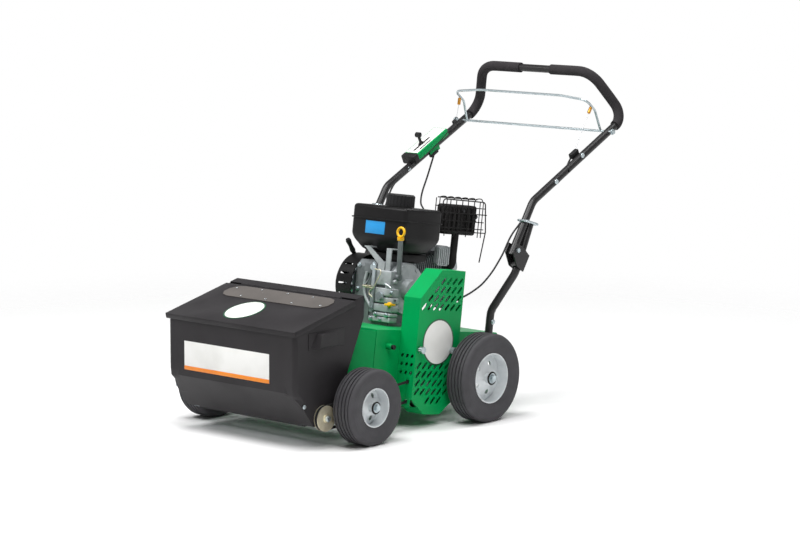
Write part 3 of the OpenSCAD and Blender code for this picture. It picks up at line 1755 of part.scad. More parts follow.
// Throttle box on the left leg with a slot for its lever. Places are (along the leg, across it upwards)
throttle_start = 140;
throttle_end = 340;
throttle_low = -17;
throttle_tall = 50;
throttle_short = 36;
throttle_w = 38;
throttle_pivot = [215, 34];
throttle_slot = [175, 262];
throttle_slot_w = 7;
throttle_floor = 17;
throttle_pin_r = 3;
throttle_r = 14;
throttle_tip = 40;
throttle_arm_w = 9;
throttle_knob_r = 9;
throttle_knob_w = 16;
throttle_t = 5;

module throttle_box() {
  color(green)
    level() {
      difference() {
        sheet_x(-handle_x - throttle_w / 2, -handle_x + throttle_w / 2)
          polygon([for (p = [[throttle_start, throttle_low], [throttle_end, throttle_low], [throttle_end, throttle_short],
            [throttle_slot[1], throttle_tall - throttle_slot_w], [throttle_start + throttle_slot_w, throttle_tall],
            [throttle_start, throttle_tall - throttle_slot_w]]) by_leg(p)]);
        rod(in_x(-handle_x, by_leg([0, 0])), in_x(-handle_x, by_leg([throttle_end + tube_d, 0])), tube_r + clamp_gap);
        sheet_x(-handle_x - throttle_slot_w / 2, -handle_x + throttle_slot_w / 2)
          polygon([for (p = [[throttle_slot[0], throttle_floor], [throttle_slot[1], throttle_floor],
            [throttle_slot[1], throttle_tall + tube_r], [throttle_slot[0], throttle_tall + tube_r]]) by_leg(p)]);
      }
      at(by_leg(throttle_pivot))
        bar_x(-handle_x - throttle_w / 4, -handle_x + throttle_w / 4, throttle_pin_r);
    }
}

module throttle_lever() {
  color(black)
    level()
      at(by_leg(throttle_pivot))
        rotate([atan2(leg_up.y, leg_up.x), 0, 0])
          translate([-handle_x, 0, 0])
            difference() {
              union() {
                bar_x(-throttle_t / 2, throttle_t / 2, throttle_r);
                translate([-throttle_t / 2, 0, -throttle_arm_w / 2])
                  cube([throttle_t, throttle_tip, throttle_arm_w]);
                translate([0, throttle_tip, 0])
                  bar_x(-throttle_knob_w / 2, throttle_knob_w / 2, throttle_knob_r);
              }
              bar_x(-throttle_t, throttle_t, throttle_pin_r + run_fit);
            }
}

// Control cables from the bail and the throttle to the belt cover, the seed gate and the carburettor
cover_in = to_level([cover_back - cable_d, cable_hole.y]);
clutch_route = [[276, 630, 945], [278, 615, 910], [290, 524, 794], [292, 400, 730], [284, 300, 670], [281, 240, 570],
  [280, 180, 490], [276, 110, 425], [276, 50, 398], [276, cover_in.x, cover_in.y]];
seed_route = [[-284, 645, 913], [-286, 628, 863], [-286, 524, 790], [-288, 400, 728], [-284, 300, 668], [-281, 240, 570],
  [-280, 180, 490], [-262, 60, 360], [-245, -120, 300], [-244, -300, 260], [-262, -430, 225], [-278, -520, 160],
  [-278, -600, 84], [-268, -622, 60], [-256, -632, 67]];
throttle_route = [[-300, 528, 754], [-290, 490, 700], [-230, 380, 620], [-130, 285, 590], [-66, 232, 535], [-60, 190, 503]];
cable_sides = 8;
cable_steps = 3;

module clutch_cable() {
  color(black)
    level()
      sweep(smooth(clutch_route, cable_steps), cable_d / 2, cable_sides, [1, 0, 0]);
}

module seed_cable() {
  color(black)
    level()
      sweep(smooth(seed_route, cable_steps - 1), cable_d / 2, cable_sides, [1, 0, 0]);
}

module throttle_cable() {
  color(black)
    level()
      sweep(smooth(throttle_route, cable_steps), cable_d / 2, cable_sides, [1, 0, 0]);
}

side_plates();
engine_deck();
front_shield();
belt_cover();
cover_knobs();
shaft_bearings();
wheel_axles();
seed_box();
hinge_pin();
crankcase();
crankcase_cover();
engine_cylinder();
rocker_cover();
cylinder_shroud();
muffler();
muffler_guard();
recoil_housing();
fuel_tank();
tank_brackets();
air_cleaner();
carburettor();
dipstick_tube();
oil_plugs();
drive_belt();
seed_belt();
lower_handles();
hinge_brackets();
hinge_bolts();
clutch_cable();
seed_cable();
throttle_cable();
lid();
lid_window();
front_tyre_left();
front_tyre_right();
rear_tyre_left();
rear_tyre_right();
front_rim_left();
front_rim_right();
rear_rim_left();
rear_rim_right();
reel_shaft();
reel_blades();
reel_pulleys();
crankshaft();
drive_pulley();
idler_arm();
seed_agitator();
seed_pulley();
seed_gate();
upper_handle();
grips();
lock_rings();
throttle_box();
bail();
throttle_lever();
fuel_cap();
dipstick();
starter_grip();
governor_lever();
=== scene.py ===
import math

import bpy
from mathutils import Matrix, Vector


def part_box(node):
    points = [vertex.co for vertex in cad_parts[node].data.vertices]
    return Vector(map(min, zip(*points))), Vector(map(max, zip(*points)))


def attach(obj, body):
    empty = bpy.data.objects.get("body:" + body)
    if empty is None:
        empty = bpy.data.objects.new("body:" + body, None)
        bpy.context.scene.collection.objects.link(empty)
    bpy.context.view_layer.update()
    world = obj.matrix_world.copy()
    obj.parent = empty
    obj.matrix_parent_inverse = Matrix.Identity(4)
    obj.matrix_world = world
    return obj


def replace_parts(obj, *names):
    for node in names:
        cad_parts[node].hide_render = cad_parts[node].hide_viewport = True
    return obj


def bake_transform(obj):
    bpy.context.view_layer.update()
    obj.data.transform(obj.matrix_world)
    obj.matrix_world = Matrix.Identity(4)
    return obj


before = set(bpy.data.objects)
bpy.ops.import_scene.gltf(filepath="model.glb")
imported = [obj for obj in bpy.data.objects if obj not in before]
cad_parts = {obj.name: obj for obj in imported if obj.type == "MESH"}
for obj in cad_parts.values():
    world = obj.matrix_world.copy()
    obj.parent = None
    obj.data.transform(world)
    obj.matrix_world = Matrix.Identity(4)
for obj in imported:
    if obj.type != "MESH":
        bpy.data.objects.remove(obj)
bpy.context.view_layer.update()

# The camera stands where the photograph was taken, in front of the seed box and to the right of it.
# A long lens, level with the top of the handle and looking slightly down.
axle_low, axle_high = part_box("rear_rim_right")
AXLE = (Vector(axle_low) + Vector(axle_high)) / 2
CAMERA_FROM_AXLE = Vector((5.6757, -6.4392, 1.6965))
CAMERA_AZIMUTH, CAMERA_ELEVATION, CAMERA_ROLL = (math.radians(d) for d in (41.336, 8.232, 0.155))
CAMERA_LENS, SENSOR_WIDTH, VIEW_DEPTH = 121.64, 36.0, 60

back = Vector((math.sin(CAMERA_AZIMUTH) * math.cos(CAMERA_ELEVATION),
               -math.cos(CAMERA_AZIMUTH) * math.cos(CAMERA_ELEVATION), math.sin(CAMERA_ELEVATION)))
right = Vector((math.cos(CAMERA_AZIMUTH), math.sin(CAMERA_AZIMUTH), 0))
up = back.cross(right)
rolled = right * math.cos(CAMERA_ROLL) + up * math.sin(CAMERA_ROLL)
bpy.ops.object.camera_add()
camera = bpy.context.object
camera.data.lens = CAMERA_LENS
camera.data.sensor_width = SENSOR_WIDTH
camera.data.clip_end = VIEW_DEPTH
camera.matrix_world = Matrix.Translation(CAMERA_FROM_AXLE + Vector((0, AXLE.y, 0))) @ Matrix(
    (rolled, back.cross(rolled), back)).transposed().to_4x4()
bpy.context.scene.camera = camera
bpy.context.scene.view_settings.view_transform = "Standard"

# A white studio: a pale floor, a white room for camera and mirror rays, and large soft lamps above.
# The floor is matt, so it takes only the machine's own soft shadow, and it fades into the room at its rim.
FLOOR_SIZE = 12
FLOOR_FADE = (1.0, 3.2)
ROOM_LIGHT, CEILING, WALL_TOP = 0.15, 0.25, 0.4
# Each lamp's place and aim, its width in metres and its watts: ahead left, ahead right, behind, and above the box.
LAMPS = [((-1.9, -3.0, 4.3), (0, 0, 0.3), 1.6, 120), ((3.0, -2.0, 4.0), (0, 0, 0.4), 1.8, 82),
         ((0.7, 2.8, 4.3), (0, 0, 0.5), 2.2, 85), ((0, -1.3, 4.2), (0, 0, 0.2), 2.0, 128)]


def linear(hex_colour, alpha=1.0):
    """An sRGB hex value as linear light."""
    parts = [int(hex_colour[i:i + 2], 16) / 255 for i in (1, 3, 5)]
    return (*[c / 12.92 if c <= 0.04045 else ((c + 0.055) / 1.055) ** 2.4 for c in parts], alpha)


def add(tree, kind, inputs, **settings):
    """Adds a node with its settings; an input is a plain value or another node's output."""
    node = tree.nodes.new(kind)
    for name, value in settings.items():
        setattr(node, name, value)
    for name, value in inputs.items():
        if isinstance(value, bpy.types.NodeSocket):
            tree.links.new(value, node.inputs[name])
        else:
            node.inputs[name].default_value = value
    return node


def new_material(name):
    """An empty node material with its shader; returns the material, its tree and the shader."""
    material = bpy.data.materials.new(name)
    material.use_nodes = True
    return material, material.node_tree, material.node_tree.nodes["Principled BSDF"]


world = bpy.data.worlds.new("studio")
bpy.context.scene.world = world
world.use_nodes = True
room = world.node_tree
rays = add(room, "ShaderNodeLightPath", {})
seen = add(room, "ShaderNodeMath", {0: rays.outputs["Is Camera Ray"], 1: rays.outputs["Is Glossy Ray"]},
           operation="MAXIMUM")
seen = add(room, "ShaderNodeMath", {0: seen.outputs[0], 1: rays.outputs["Is Transmission Ray"]},
           operation="MAXIMUM")
facing = add(room, "ShaderNodeTexCoord", {})
height = add(room, "ShaderNodeSeparateXYZ", {"Vector": facing.outputs["Generated"]})
walls = add(room, "ShaderNodeMapRange", {"Value": height.outputs["Z"], "From Min": 0.0, "From Max": WALL_TOP,
                                         "To Min": 1.0, "To Max": CEILING}, interpolation_type="SMOOTHSTEP")
level_of_light = add(room, "ShaderNodeMapRange", {"Value": seen.outputs[0], "To Min": ROOM_LIGHT,
                                                  "To Max": walls.outputs["Result"]})
room.links.new(level_of_light.outputs["Result"], room.nodes["Background"].inputs["Strength"])
room.nodes["Background"].inputs["Color"].default_value = linear("#FFFFFF")

bpy.ops.object.select_all(action="DESELECT")
bpy.ops.mesh.primitive_plane_add(size=FLOOR_SIZE)
floor = bpy.context.object
floor.name = "floor"
floor_paper, tree, shader = new_material("white_paper_floor")
spot = add(tree, "ShaderNodeTexCoord", {})
far = add(tree, "ShaderNodeVectorMath", {0: spot.outputs["Object"]}, operation="LENGTH")
fade = add(tree, "ShaderNodeMapRange", {"Value": far.outputs["Value"], "From Min": FLOOR_FADE[0],
                                        "From Max": FLOOR_FADE[1], "To Min": 1.0, "To Max": 0.0},
           interpolation_type="SMOOTHSTEP")
tree.links.new(fade.outputs["Result"], shader.inputs["Alpha"])
shader.inputs["Base Color"].default_value = linear("#F7F7F7")
shader.inputs["Roughness"].default_value = 1.0
shader.inputs["Specular IOR Level"].default_value = 0.0
floor.data.materials.append(floor_paper)

for place, aim, size, watts in LAMPS:
    bpy.ops.object.light_add(type="AREA", location=place)
    lamp = bpy.context.object
    lamp.data.size = size
    lamp.data.energy = watts
    lamp.rotation_euler = (Vector(place) - Vector(aim)).to_track_quat("Z", "Y").to_euler()

# Chassis: folded and welded steel side plates, engine deck, cross plate and belt cover in a bright green powder coat.
# The whole chassis leans forward about the rear axle, because the front wheels are smaller.
PITCH = math.radians(8)
PATCH_EDGES = (0.35, 0.7)


def level(x, y, z):
    """A place in millimetres from the rear axle's middle, z from the ground."""
    return Vector((x / 1000, y / 1000 + AXLE.y, z / 1000))


def pitched(x, y, z):
    """A place in millimetres in the chassis's own frame, which leans forward about the rear axle."""
    return Vector((x / 1000, (y * math.cos(PITCH) + z * math.sin(PITCH)) / 1000 + AXLE.y,
                   (z * math.cos(PITCH) - y * math.sin(PITCH)) / 1000 + AXLE.z))


def coat(name, colour, worn, roughness, grain_mm, grain_depth, metallic=0.0, patch_mm=90, shine=0.5):
    """A finish with soft patches of a second tone, a rougher and a smoother range, and a fine grain."""
    material, tree, shader = new_material(name)
    spot = add(tree, "ShaderNodeTexCoord", {})
    patches = add(tree, "ShaderNodeTexNoise", {"Vector": spot.outputs["Object"], "Scale": 1000 / patch_mm,
                                               "Detail": 4.0})
    spread = add(tree, "ShaderNodeMapRange", {"Value": patches.outputs["Fac"], "From Min": PATCH_EDGES[0],
                                              "From Max": PATCH_EDGES[1]})
    tone = add(tree, "ShaderNodeMix", {"Factor": spread.outputs["Result"], "A": linear(colour), "B": linear(worn)},
               data_type="RGBA")
    gloss = add(tree, "ShaderNodeMapRange", {"Value": patches.outputs["Fac"], "To Min": roughness[0],
                                             "To Max": roughness[1]})
    grain = add(tree, "ShaderNodeTexNoise", {"Vector": spot.outputs["Object"], "Scale": 1000 / grain_mm,
                                             "Detail": 3.0})
    bump = add(tree, "ShaderNodeBump", {"Height": grain.outputs["Fac"], "Distance": grain_mm / 1000,
                                        "Strength": grain_depth})
    tree.links.new(tone.outputs["Result"], shader.inputs["Base Color"])
    tree.links.new(gloss.outputs["Result"], shader.inputs["Roughness"])
    tree.links.new(bump.outputs["Normal"], shader.inputs["Normal"])
    shader.inputs["Metallic"].default_value = metallic
    shader.inputs["Specular IOR Level"].default_value = shine
    return material


def dress(material, *nodes):
    """Gives CAD nodes their finish."""
    for name in nodes:
        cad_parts[name].data.materials.clear()
        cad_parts[name].data.materials.append(material)


# Powder coat: baked on, even and satin, with a faint orange peel about 1.5 mm across and slightly duller patches.
green_powder_coat = coat("green_powder_coat", "#00A055", "#009750", (0.3, 0.44), 1.5, 0.04, shine=0.16)
dress(green_powder_coat, "side_plates", "engine_deck", "front_shield", "belt_cover")

# Plate fasteners: a black socket screw on its welded green boss, and zinc hex bolts with washers that hold the engine
# on the deck and the lower handle tubes on the plates. Every bolt is a chamfered hexagon on a thin round washer.
HEX_CHAMFER, HEAD_SEAT, WASHER_THICK, WASHER_EDGE = 0.0006, 0.0015, 0.0018, 0.0004
SMOOTH_ANGLE = math.radians(40)
SIDE = Vector((1, 0, 0))
UPRIGHT = (pitched(0, 0, 1) - pitched(0, 0, 0)).normalized()
AHEAD = (pitched(0, -1, 0) - pitched(0, 0, 0)).normalized()
PLATE_FACE, BOSS_FACE, SCREW_FACE, BOSS_AT = 228, 252, 262, (-322, 78)
ENGINE_FOOT, TUBE_FACE = 139, 257.4
# Zinc plate: bright and slightly blue, with soft grey bloom. Black oxide: a thin dark film that still shines as metal.
zinc_plate = coat("zinc_plated_steel", "#C3CED2", "#ABB6BA", (0.24, 0.4), 0.8, 0.03, metallic=0.9, patch_mm=25)
black_oxide = coat("black_oxide_steel", "#1D1D1F", "#2A2A2C", (0.3, 0.5), 0.8, 0.05, metallic=0.6, patch_mm=12)


def pick_only(*objects):
    """Selects these objects and nothing else, the last of them active."""
    bpy.ops.object.select_all(action="DESELECT")
    for o in objects:
        o.select_set(True)
        bpy.context.view_layer.objects.active = o


def soften(piece, width, segments=2):
    """Rounds a piece's sharp edges and smooths what is left."""
    pick_only(piece)
    rounding = piece.modifiers.new("edges", "BEVEL")
    rounding.width = width
    rounding.segments = segments
    rounding.limit_method = "ANGLE"
    bpy.ops.object.modifier_apply(modifier=rounding.name)
    bpy.ops.object.shade_smooth_by_angle(angle=SMOOTH_ANGLE)
    return piece


def drum(a, b, radius, sides=24, end_radius=None):
    """A round or many-sided bar from a to b, in metres."""
    a, b = Vector(a), Vector(b)
    bpy.ops.object.select_all(action="DESELECT")
    bpy.ops.mesh.primitive_cone_add(vertices=sides, radius1=radius,
                                    radius2=radius if end_radius is None else end_radius,
                                    depth=(b - a).length, location=(a + b) / 2,
                                    rotation=(b - a).to_track_quat("Z", "Y").to_euler())
    return bpy.context.object


def slab(centre, size, turn=(0, 0, 0)):
    """A block of a size in metres about its centre."""
    bpy.ops.object.select_all(action="DESELECT")
    bpy.ops.mesh.primitive_cube_add(size=1, location=centre, rotation=turn)
    bpy.context.object.scale = size
    bpy.ops.object.transform_apply(location=False, rotation=False, scale=True)
    return bpy.context.object


def fit(name, parts, body, material):
    """Joins parts into one piece, bakes their places into the mesh and hangs the piece on its body."""
    pick_only(*parts)
    bpy.ops.object.transform_apply(location=True, rotation=True, scale=True)
    if len(parts) > 1:
        bpy.ops.object.join()
    piece = bpy.context.object
    pick_only(piece)
    bpy.ops.object.transform_apply(location=True, rotation=True, scale=True)
    piece.name = piece.data.name = name
    piece.data.materials.clear()
    piece.data.materials.append(material)
    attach(piece, body)
    return piece


def hex_bolt(at, axis, across=0.013, height=0.0055, washer=0.0):
    """A hex head that stands on a surface along an axis, with a washer where one is given."""
    at, axis = Vector(at), Vector(axis).normalized()
    corner = across / 2 / math.cos(math.pi / 6)
    parts = [soften(drum(at + axis * HEAD_SEAT, at + axis * height, corner, 6), HEX_CHAMFER)]
    if washer:
        parts.append(soften(drum(at, at + axis * WASHER_THICK, washer, 28), WASHER_EDGE))
    return parts


boss = soften(drum(pitched(PLATE_FACE, *BOSS_AT), pitched(BOSS_FACE, *BOSS_AT), 0.011, 32, 0.009), 0.0015, 3)
fit("plate_boss", [boss], "chassis", green_powder_coat)
screw = soften(drum(pitched(BOSS_FACE, *BOSS_AT), pitched(SCREW_FACE, *BOSS_AT), 0.0075, 28), 0.0012, 3)
fit("boss_screw", [screw], "chassis", black_oxide)
deck_bolts = []
for x in (-53.32, 96.32):
    for y in (-180, -50):
        deck_bolts += hex_bolt(pitched(x, y, ENGINE_FOOT), UPRIGHT, washer=0.0095)
fit("engine_bolts", deck_bolts, "chassis", zinc_plate)
tube_bolts = []
for side in (-1, 1):
    for y, z in [(160, 208), (171, 282)]:
        tube_bolts += hex_bolt(level(side * TUBE_FACE, y, z), SIDE * side, washer=0.0085)
fit("lower_tube_bolts", tube_bolts, "chassis", zinc_plate)

# Cover badge: a plain oval on the belt cover, a white vinyl disc with a narrow dark green border.
# Cut from sheet vinyl and stuck on, so it stands less than a millimetre proud.
BADGE_WIDTH, BADGE_HEIGHT, BADGE_BORDER = 0.148, 0.146, 0.010
BORDER_THICK, FACE_THICK = 0.0005, 0.0009
# Vinyl: smooth and satin, one even colour with hardly any grain.
white_vinyl = coat("white_vinyl", "#F1F1EE", "#E6E6E2", (0.35, 0.45), 2.0, 0.02)
dark_green_vinyl = coat("dark_green_vinyl", "#1B5B3A", "#174F33", (0.35, 0.45), 2.0, 0.02)


def oval(centre, normal, upward, width, height, thick):
    """A thin oval plate lying on a surface."""
    turn = Matrix((Vector(upward).cross(normal), Vector(upward), Vector(normal))).transposed()
    plate = drum((0, 0, 0), (0, 0, thick), 0.5, 64)
    plate.scale = (width, height, 1)
    pick_only(plate)
    bpy.ops.object.transform_apply(location=True, rotation=True, scale=True)
    plate.matrix_world = Matrix.Translation(centre) @ turn.to_4x4()
    return soften(plate, thick * 0.3)


def badge(name, body, centre, normal, upward, width, height):
    """A white oval on a slightly larger dark green one."""
    border = oval(centre, normal, upward, width, height, BORDER_THICK)
    fit(f"{name}_border", [border], body, dark_green_vinyl)
    face = oval(centre, normal, upward, width - BADGE_BORDER, height - BADGE_BORDER, FACE_THICK)
    fit(name, [face], body, white_vinyl)


badge("cover_badge", "chassis", pitched(300, -163.5, 101), SIDE, UPRIGHT, BADGE_WIDTH, BADGE_HEIGHT)

# Belt slot plate: the cover's narrow front is closed by a coated plate with two openings for the runs of the seed belt.
# Laser-cut from the cover's own sheet and welded in flush.
LEAN = (-PITCH, 0, 0)
SLOT_PLATE_FACES = (-265, -263)


def block(xs, ys, zs):
    """A block of the leaning chassis between two values in millimetres along each axis."""
    return slab(pitched(sum(xs) / 2, sum(ys) / 2, sum(zs) / 2),
                ((xs[1] - xs[0]) / 1000, (ys[1] - ys[0]) / 1000, (zs[1] - zs[0]) / 1000), LEAN)


slot_plate = [soften(block(xs, SLOT_PLATE_FACES, zs), 0.0002)
              for xs, zs in [((261, 270.5), (-105, -5)), ((283.5, 293), (-105, -5)), ((270.5, 283.5), (-20, -5)),
                             ((270.5, 283.5), (-82, -32)), ((270.5, 283.5), (-105, -94))]]
fit("belt_slot_plate", slot_plate, "chassis", green_powder_coat)

# Bright fittings: the cover's hand screws, axles, pins, lock rings, levers, shafts and pulleys are all turned or bent
# from plain steel and zinc plated, as the bolts are.
dress(zinc_plate, "cover_knobs", "wheel_axles", "hinge_pin", "hinge_bolts", "lock_rings", "bail", "governor_lever",
      "idler_arm", "reel_shaft", "seed_agitator", "seed_gate", "reel_pulleys", "crankshaft", "drive_pulley")

# Wheels: pneumatic tyres of black-grey rubber with circumferential ribs, on pressed rims in silver paint.
# Each runs on a bush on its axle, and a ring of soft rubber seals the hub.
RING_MM, RING_DEPTH = 14, 0.0006
DUST_SCALE, GRIT_SCALE, GRIT_DEPTH = 28.0, 900.0, 0.0005
RUBBER, RUBBER_DUSTY = "#3E3D40", "#504F52"


def tyre_rubber(name, centre):
    """Tyre rubber: matt and slightly chalky, with fine mould lines round the wheel's own axle about every 14 mm."""
    material, tree, shader = new_material(name)
    spot = add(tree, "ShaderNodeTexCoord", {})
    from_axle = add(tree, "ShaderNodeVectorMath", {0: spot.outputs["Object"], 1: tuple(centre)}, operation="SUBTRACT")
    flat = add(tree, "ShaderNodeVectorMath", {0: from_axle.outputs[0], 1: (0, 1, 1)}, operation="MULTIPLY")
    reach = add(tree, "ShaderNodeVectorMath", {0: flat.outputs[0]}, operation="LENGTH")
    turns = add(tree, "ShaderNodeMath", {0: reach.outputs["Value"], 1: 2000 * math.pi / RING_MM}, operation="MULTIPLY")
    wave = add(tree, "ShaderNodeMath", {0: turns.outputs[0]}, operation="SINE")
    line = add(tree, "ShaderNodeMapRange", {"Value": wave.outputs[0], "From Min": 0.9, "From Max": 1.0})
    dust = add(tree, "ShaderNodeTexNoise", {"Vector": spot.outputs["Object"], "Scale": DUST_SCALE, "Detail": 5.0})
    tone = add(tree, "ShaderNodeMix", {"Factor": dust.outputs["Fac"], "A": linear(RUBBER), "B": linear(RUBBER_DUSTY)},
               data_type="RGBA")
    bump = add(tree, "ShaderNodeBump", {"Height": line.outputs["Result"], "Distance": RING_DEPTH, "Strength": 0.5})
    grit = add(tree, "ShaderNodeTexNoise", {"Vector": spot.outputs["Object"], "Scale": GRIT_SCALE, "Detail": 2.0})
    fine = add(tree, "ShaderNodeBump", {"Height": grit.outputs["Fac"], "Distance": GRIT_DEPTH, "Strength": 0.15,
                                        "Normal": bump.outputs["Normal"]})
    tree.links.new(tone.outputs["Result"], shader.inputs["Base Color"])
    tree.links.new(fine.outputs["Normal"], shader.inputs["Normal"])
    shader.inputs["Roughness"].default_value = 0.62
    shader.inputs["Specular IOR Level"].default_value = 0.2
    return material


SEAL_RADIUS = {"front": 0.0160, "rear": 0.0180}
SEAL_WALL, SEAL_FLAT = 0.0036, 0.7
# Seal rubber: dull black. Wheel paint: sprayed silver, satin, with a little metal in it.
seal_rubber = coat("seal_rubber", "#151515", "#1E1E1E", (0.5, 0.65), 0.8, 0.1, patch_mm=10, shine=0.25)
silver_paint = coat("silver_wheel_paint", "#DDE1E3", "#CFD4D6", (0.28, 0.42), 1.2, 0.05, metallic=0.15, patch_mm=30)
for end in ("front", "rear"):
    for side in ("left", "right"):
        low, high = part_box(f"{end}_tyre_{side}")
        dress(tyre_rubber(f"{end}_{side}_tyre_rubber", (Vector(low) + Vector(high)) / 2), f"{end}_tyre_{side}")
        dress(silver_paint, f"{end}_rim_{side}")
        rim_low, rim_high = (Vector(v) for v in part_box(f"{end}_rim_{side}"))
        hub = (rim_low + rim_high) / 2
        hub.x = rim_high.x if side == "right" else rim_low.x
        bpy.ops.object.select_all(action="DESELECT")
        bpy.ops.mesh.primitive_torus_add(major_radius=SEAL_RADIUS[end], minor_radius=SEAL_WALL, major_segments=40,
                                         minor_segments=10, location=hub, rotation=(0, math.radians(90), 0))
        seal = bpy.context.object
        seal.scale = (1, 1, SEAL_FLAT)
        bpy.ops.object.shade_smooth()
        fit(f"{end}_{side}_hub_seal", [seal], f"{end}_wheel_{side}", seal_rubber)

# Slitting reel and belt drive: hardened blades on a shaft in cast bearings, and moulded rubber V-belts.
# The seed pulley is turned steel in yellow zinc, held by a washer and a nut on the roller's end.
# Blades are dark and stained, iron is dull and gritty, belts are matt, and yellow zinc is satin with a warm tint.
blade_steel = coat("hardened_blade_steel", "#5C5A58", "#463C34", (0.35, 0.6), 1.0, 0.15, metallic=0.85, patch_mm=35)
grey_iron = coat("grey_cast_iron", "#565A5C", "#4A4D4F", (0.5, 0.7), 1.4, 0.25, metallic=0.5, patch_mm=30)
belt_rubber = coat("moulded_belt_rubber", "#1A1A1B", "#262626", (0.6, 0.8), 0.9, 0.15, patch_mm=30, shine=0.2)
yellow_zinc = coat("yellow_zinc_steel", "#EBE3CB", "#D6CCAD", (0.25, 0.42), 0.9, 0.06, metallic=0.7, patch_mm=22)
dress(blade_steel, "reel_blades")
dress(grey_iron, "shaft_bearings")
dress(belt_rubber, "drive_belt", "seed_belt")
dress(yellow_zinc, "seed_pulley")
pulley_low, pulley_high = (Vector(v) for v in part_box("seed_pulley"))
pulley_middle = (pulley_low + pulley_high) / 2
tip = Vector((pulley_high.x, pulley_middle.y, pulley_middle.z))
washer = soften(drum(tip, tip + SIDE * 0.003, 0.013, 40), 0.0006)
fit("seed_pulley_washer", [washer], "seed_roller", yellow_zinc)
nut = hex_bolt(tip + SIDE * 0.0015, SIDE, across=0.017, height=0.0075)
fit("seed_pulley_nut", nut, "seed_roller", zinc_plate)

# Seed box: folded sheet with a plain panel stuck on its front, and a zinc screw on each side for the roller's bush.
# The panel is white vinyl with an orange stripe along its foot.
SIDES = (("left", -1), ("right", 1))
PANEL_LEFT, PANEL_RIGHT, PANEL_LOW, PANEL_HIGH, STRIPE_HIGH = -198, 162, 199, 288, 12
PANEL_FACE, STRIPE_FACE = -758.5, -759.1
SCREW_AT, SCREW_FOOT, SCREW_END = (-720.5, 136.7), 267.5, 272
# Charcoal powder coat: nearly black and satin, with a fine sand texture about 0.9 mm to a grain.
charcoal_coat = coat("charcoal_powder_coat", "#2C2A2C", "#262426", (0.4, 0.52), 0.9, 0.12, patch_mm=120, shine=0.2)
orange_vinyl = coat("orange_vinyl", "#F08A1D", "#E67F14", (0.35, 0.45), 2.0, 0.02)
dress(charcoal_coat, "seed_box")


def sheet(corner, across, upward, thick, edge):
    """A thin plate from its lower corner along two edges, rounded a little at its rim."""
    corner, across, upward = Vector(corner), Vector(across), Vector(upward)
    normal = across.cross(upward).normalized()
    turn = Matrix((across.normalized(), upward.normalized(), normal)).transposed().to_euler()
    centre = corner + across / 2 + upward / 2 + normal * thick / 2
    return soften(slab(centre, (across.length, upward.length, thick), turn), edge)


panel_across = Vector(((PANEL_RIGHT - PANEL_LEFT) / 1000, 0, 0))
panel_upward = Vector((0, 0, (PANEL_HIGH - PANEL_LOW) / 1000))
panel = sheet(level(PANEL_LEFT, PANEL_FACE, PANEL_LOW), panel_across, panel_upward, 0.0006, 0.0002)
fit("front_panel", [panel], "chassis", white_vinyl)
stripe_upward = Vector((0, 0, STRIPE_HIGH / 1000))
stripe = sheet(level(PANEL_LEFT, STRIPE_FACE, PANEL_LOW), panel_across, stripe_upward, 0.0004, 0.0001)
fit("front_panel_stripe", [stripe], "chassis", orange_vinyl)
for name, side in SIDES:
    screw = drum(level(side * SCREW_FOOT, *SCREW_AT), level(side * SCREW_END, *SCREW_AT), 0.0065, 32)
    fit(f"roller_screw_{name}", [soften(screw, 0.0018, 3)], "chassis", zinc_plate)

# Box corners: the sheet is folded to a tight bend above the lower flank, and the bend opens out where it meets the
# flank. Each is the same 2 mm sheet, so it has the box's own coat.
BOX_HALF, BOX_FRONT, BOX_CORNER, TIGHT_BEND, PROUD = 268, -758.5, 45, 14, 0.3
CORNER_TOP, FLANK_TOP, CORNER_FOOT, FLANK_SHARE, BEND_GROWS = 362, 178, 117, 0.6, 0.4
CORNER_STEPS, CORNER_ROWS, CORNER_SHEET = 16, 14, 0.0018
LAP = 0.2
for name, side in SIDES:
    bpy.ops.object.select_all(action="DESELECT")
    bpy.ops.mesh.primitive_grid_add(x_subdivisions=CORNER_STEPS, y_subdivisions=CORNER_ROWS, size=2)
    corner = bpy.context.object
    for v in corner.data.vertices:
        along, rise = (v.co.x + 1) / 2, (v.co.y + 1) / 2
        if rise > FLANK_SHARE:
            z = FLANK_TOP + (CORNER_TOP - FLANK_TOP) * (rise - FLANK_SHARE) / (1 - FLANK_SHARE)
        else:
            z = CORNER_FOOT + (FLANK_TOP - CORNER_FOOT) * rise / FLANK_SHARE
        below = max(0, FLANK_TOP - z)
        deep = BOX_CORNER * (1 - below / (FLANK_TOP - CORNER_FOOT + 1))
        r = min(TIGHT_BEND + BEND_GROWS * below, deep)
        turn = math.radians(90 * min(1, max(0, along * (1 + 2 * LAP) - LAP)))
        x = BOX_HALF + PROUD - r * (1 - math.cos(turn))
        y = BOX_FRONT + BOX_CORNER - deep - PROUD + r * (1 - math.sin(turn))
        if along < 0.001:
            x, y = BOX_HALF, BOX_FRONT + BOX_CORNER
        if along > 0.999:
            x, y = BOX_HALF - BOX_CORNER, BOX_FRONT + BOX_CORNER - deep
        v.co = level(side * x, y, z)
    pick_only(corner)
    bpy.ops.object.mode_set(mode="EDIT")
    bpy.ops.mesh.select_all(action="SELECT")
    if side > 0:
        bpy.ops.mesh.flip_normals()
    bpy.ops.object.mode_set(mode="OBJECT")
    sheet_wall = corner.modifiers.new("sheet", "SOLIDIFY")
    sheet_wall.thickness = CORNER_SHEET
    sheet_wall.offset = -1
    bpy.ops.object.modifier_apply(modifier=sheet_wall.name)
    bpy.ops.object.shade_smooth_by_angle(angle=SMOOTH_ANGLE)
    fit(f"box_corner_{name}", [corner], "chassis", charcoal_coat)

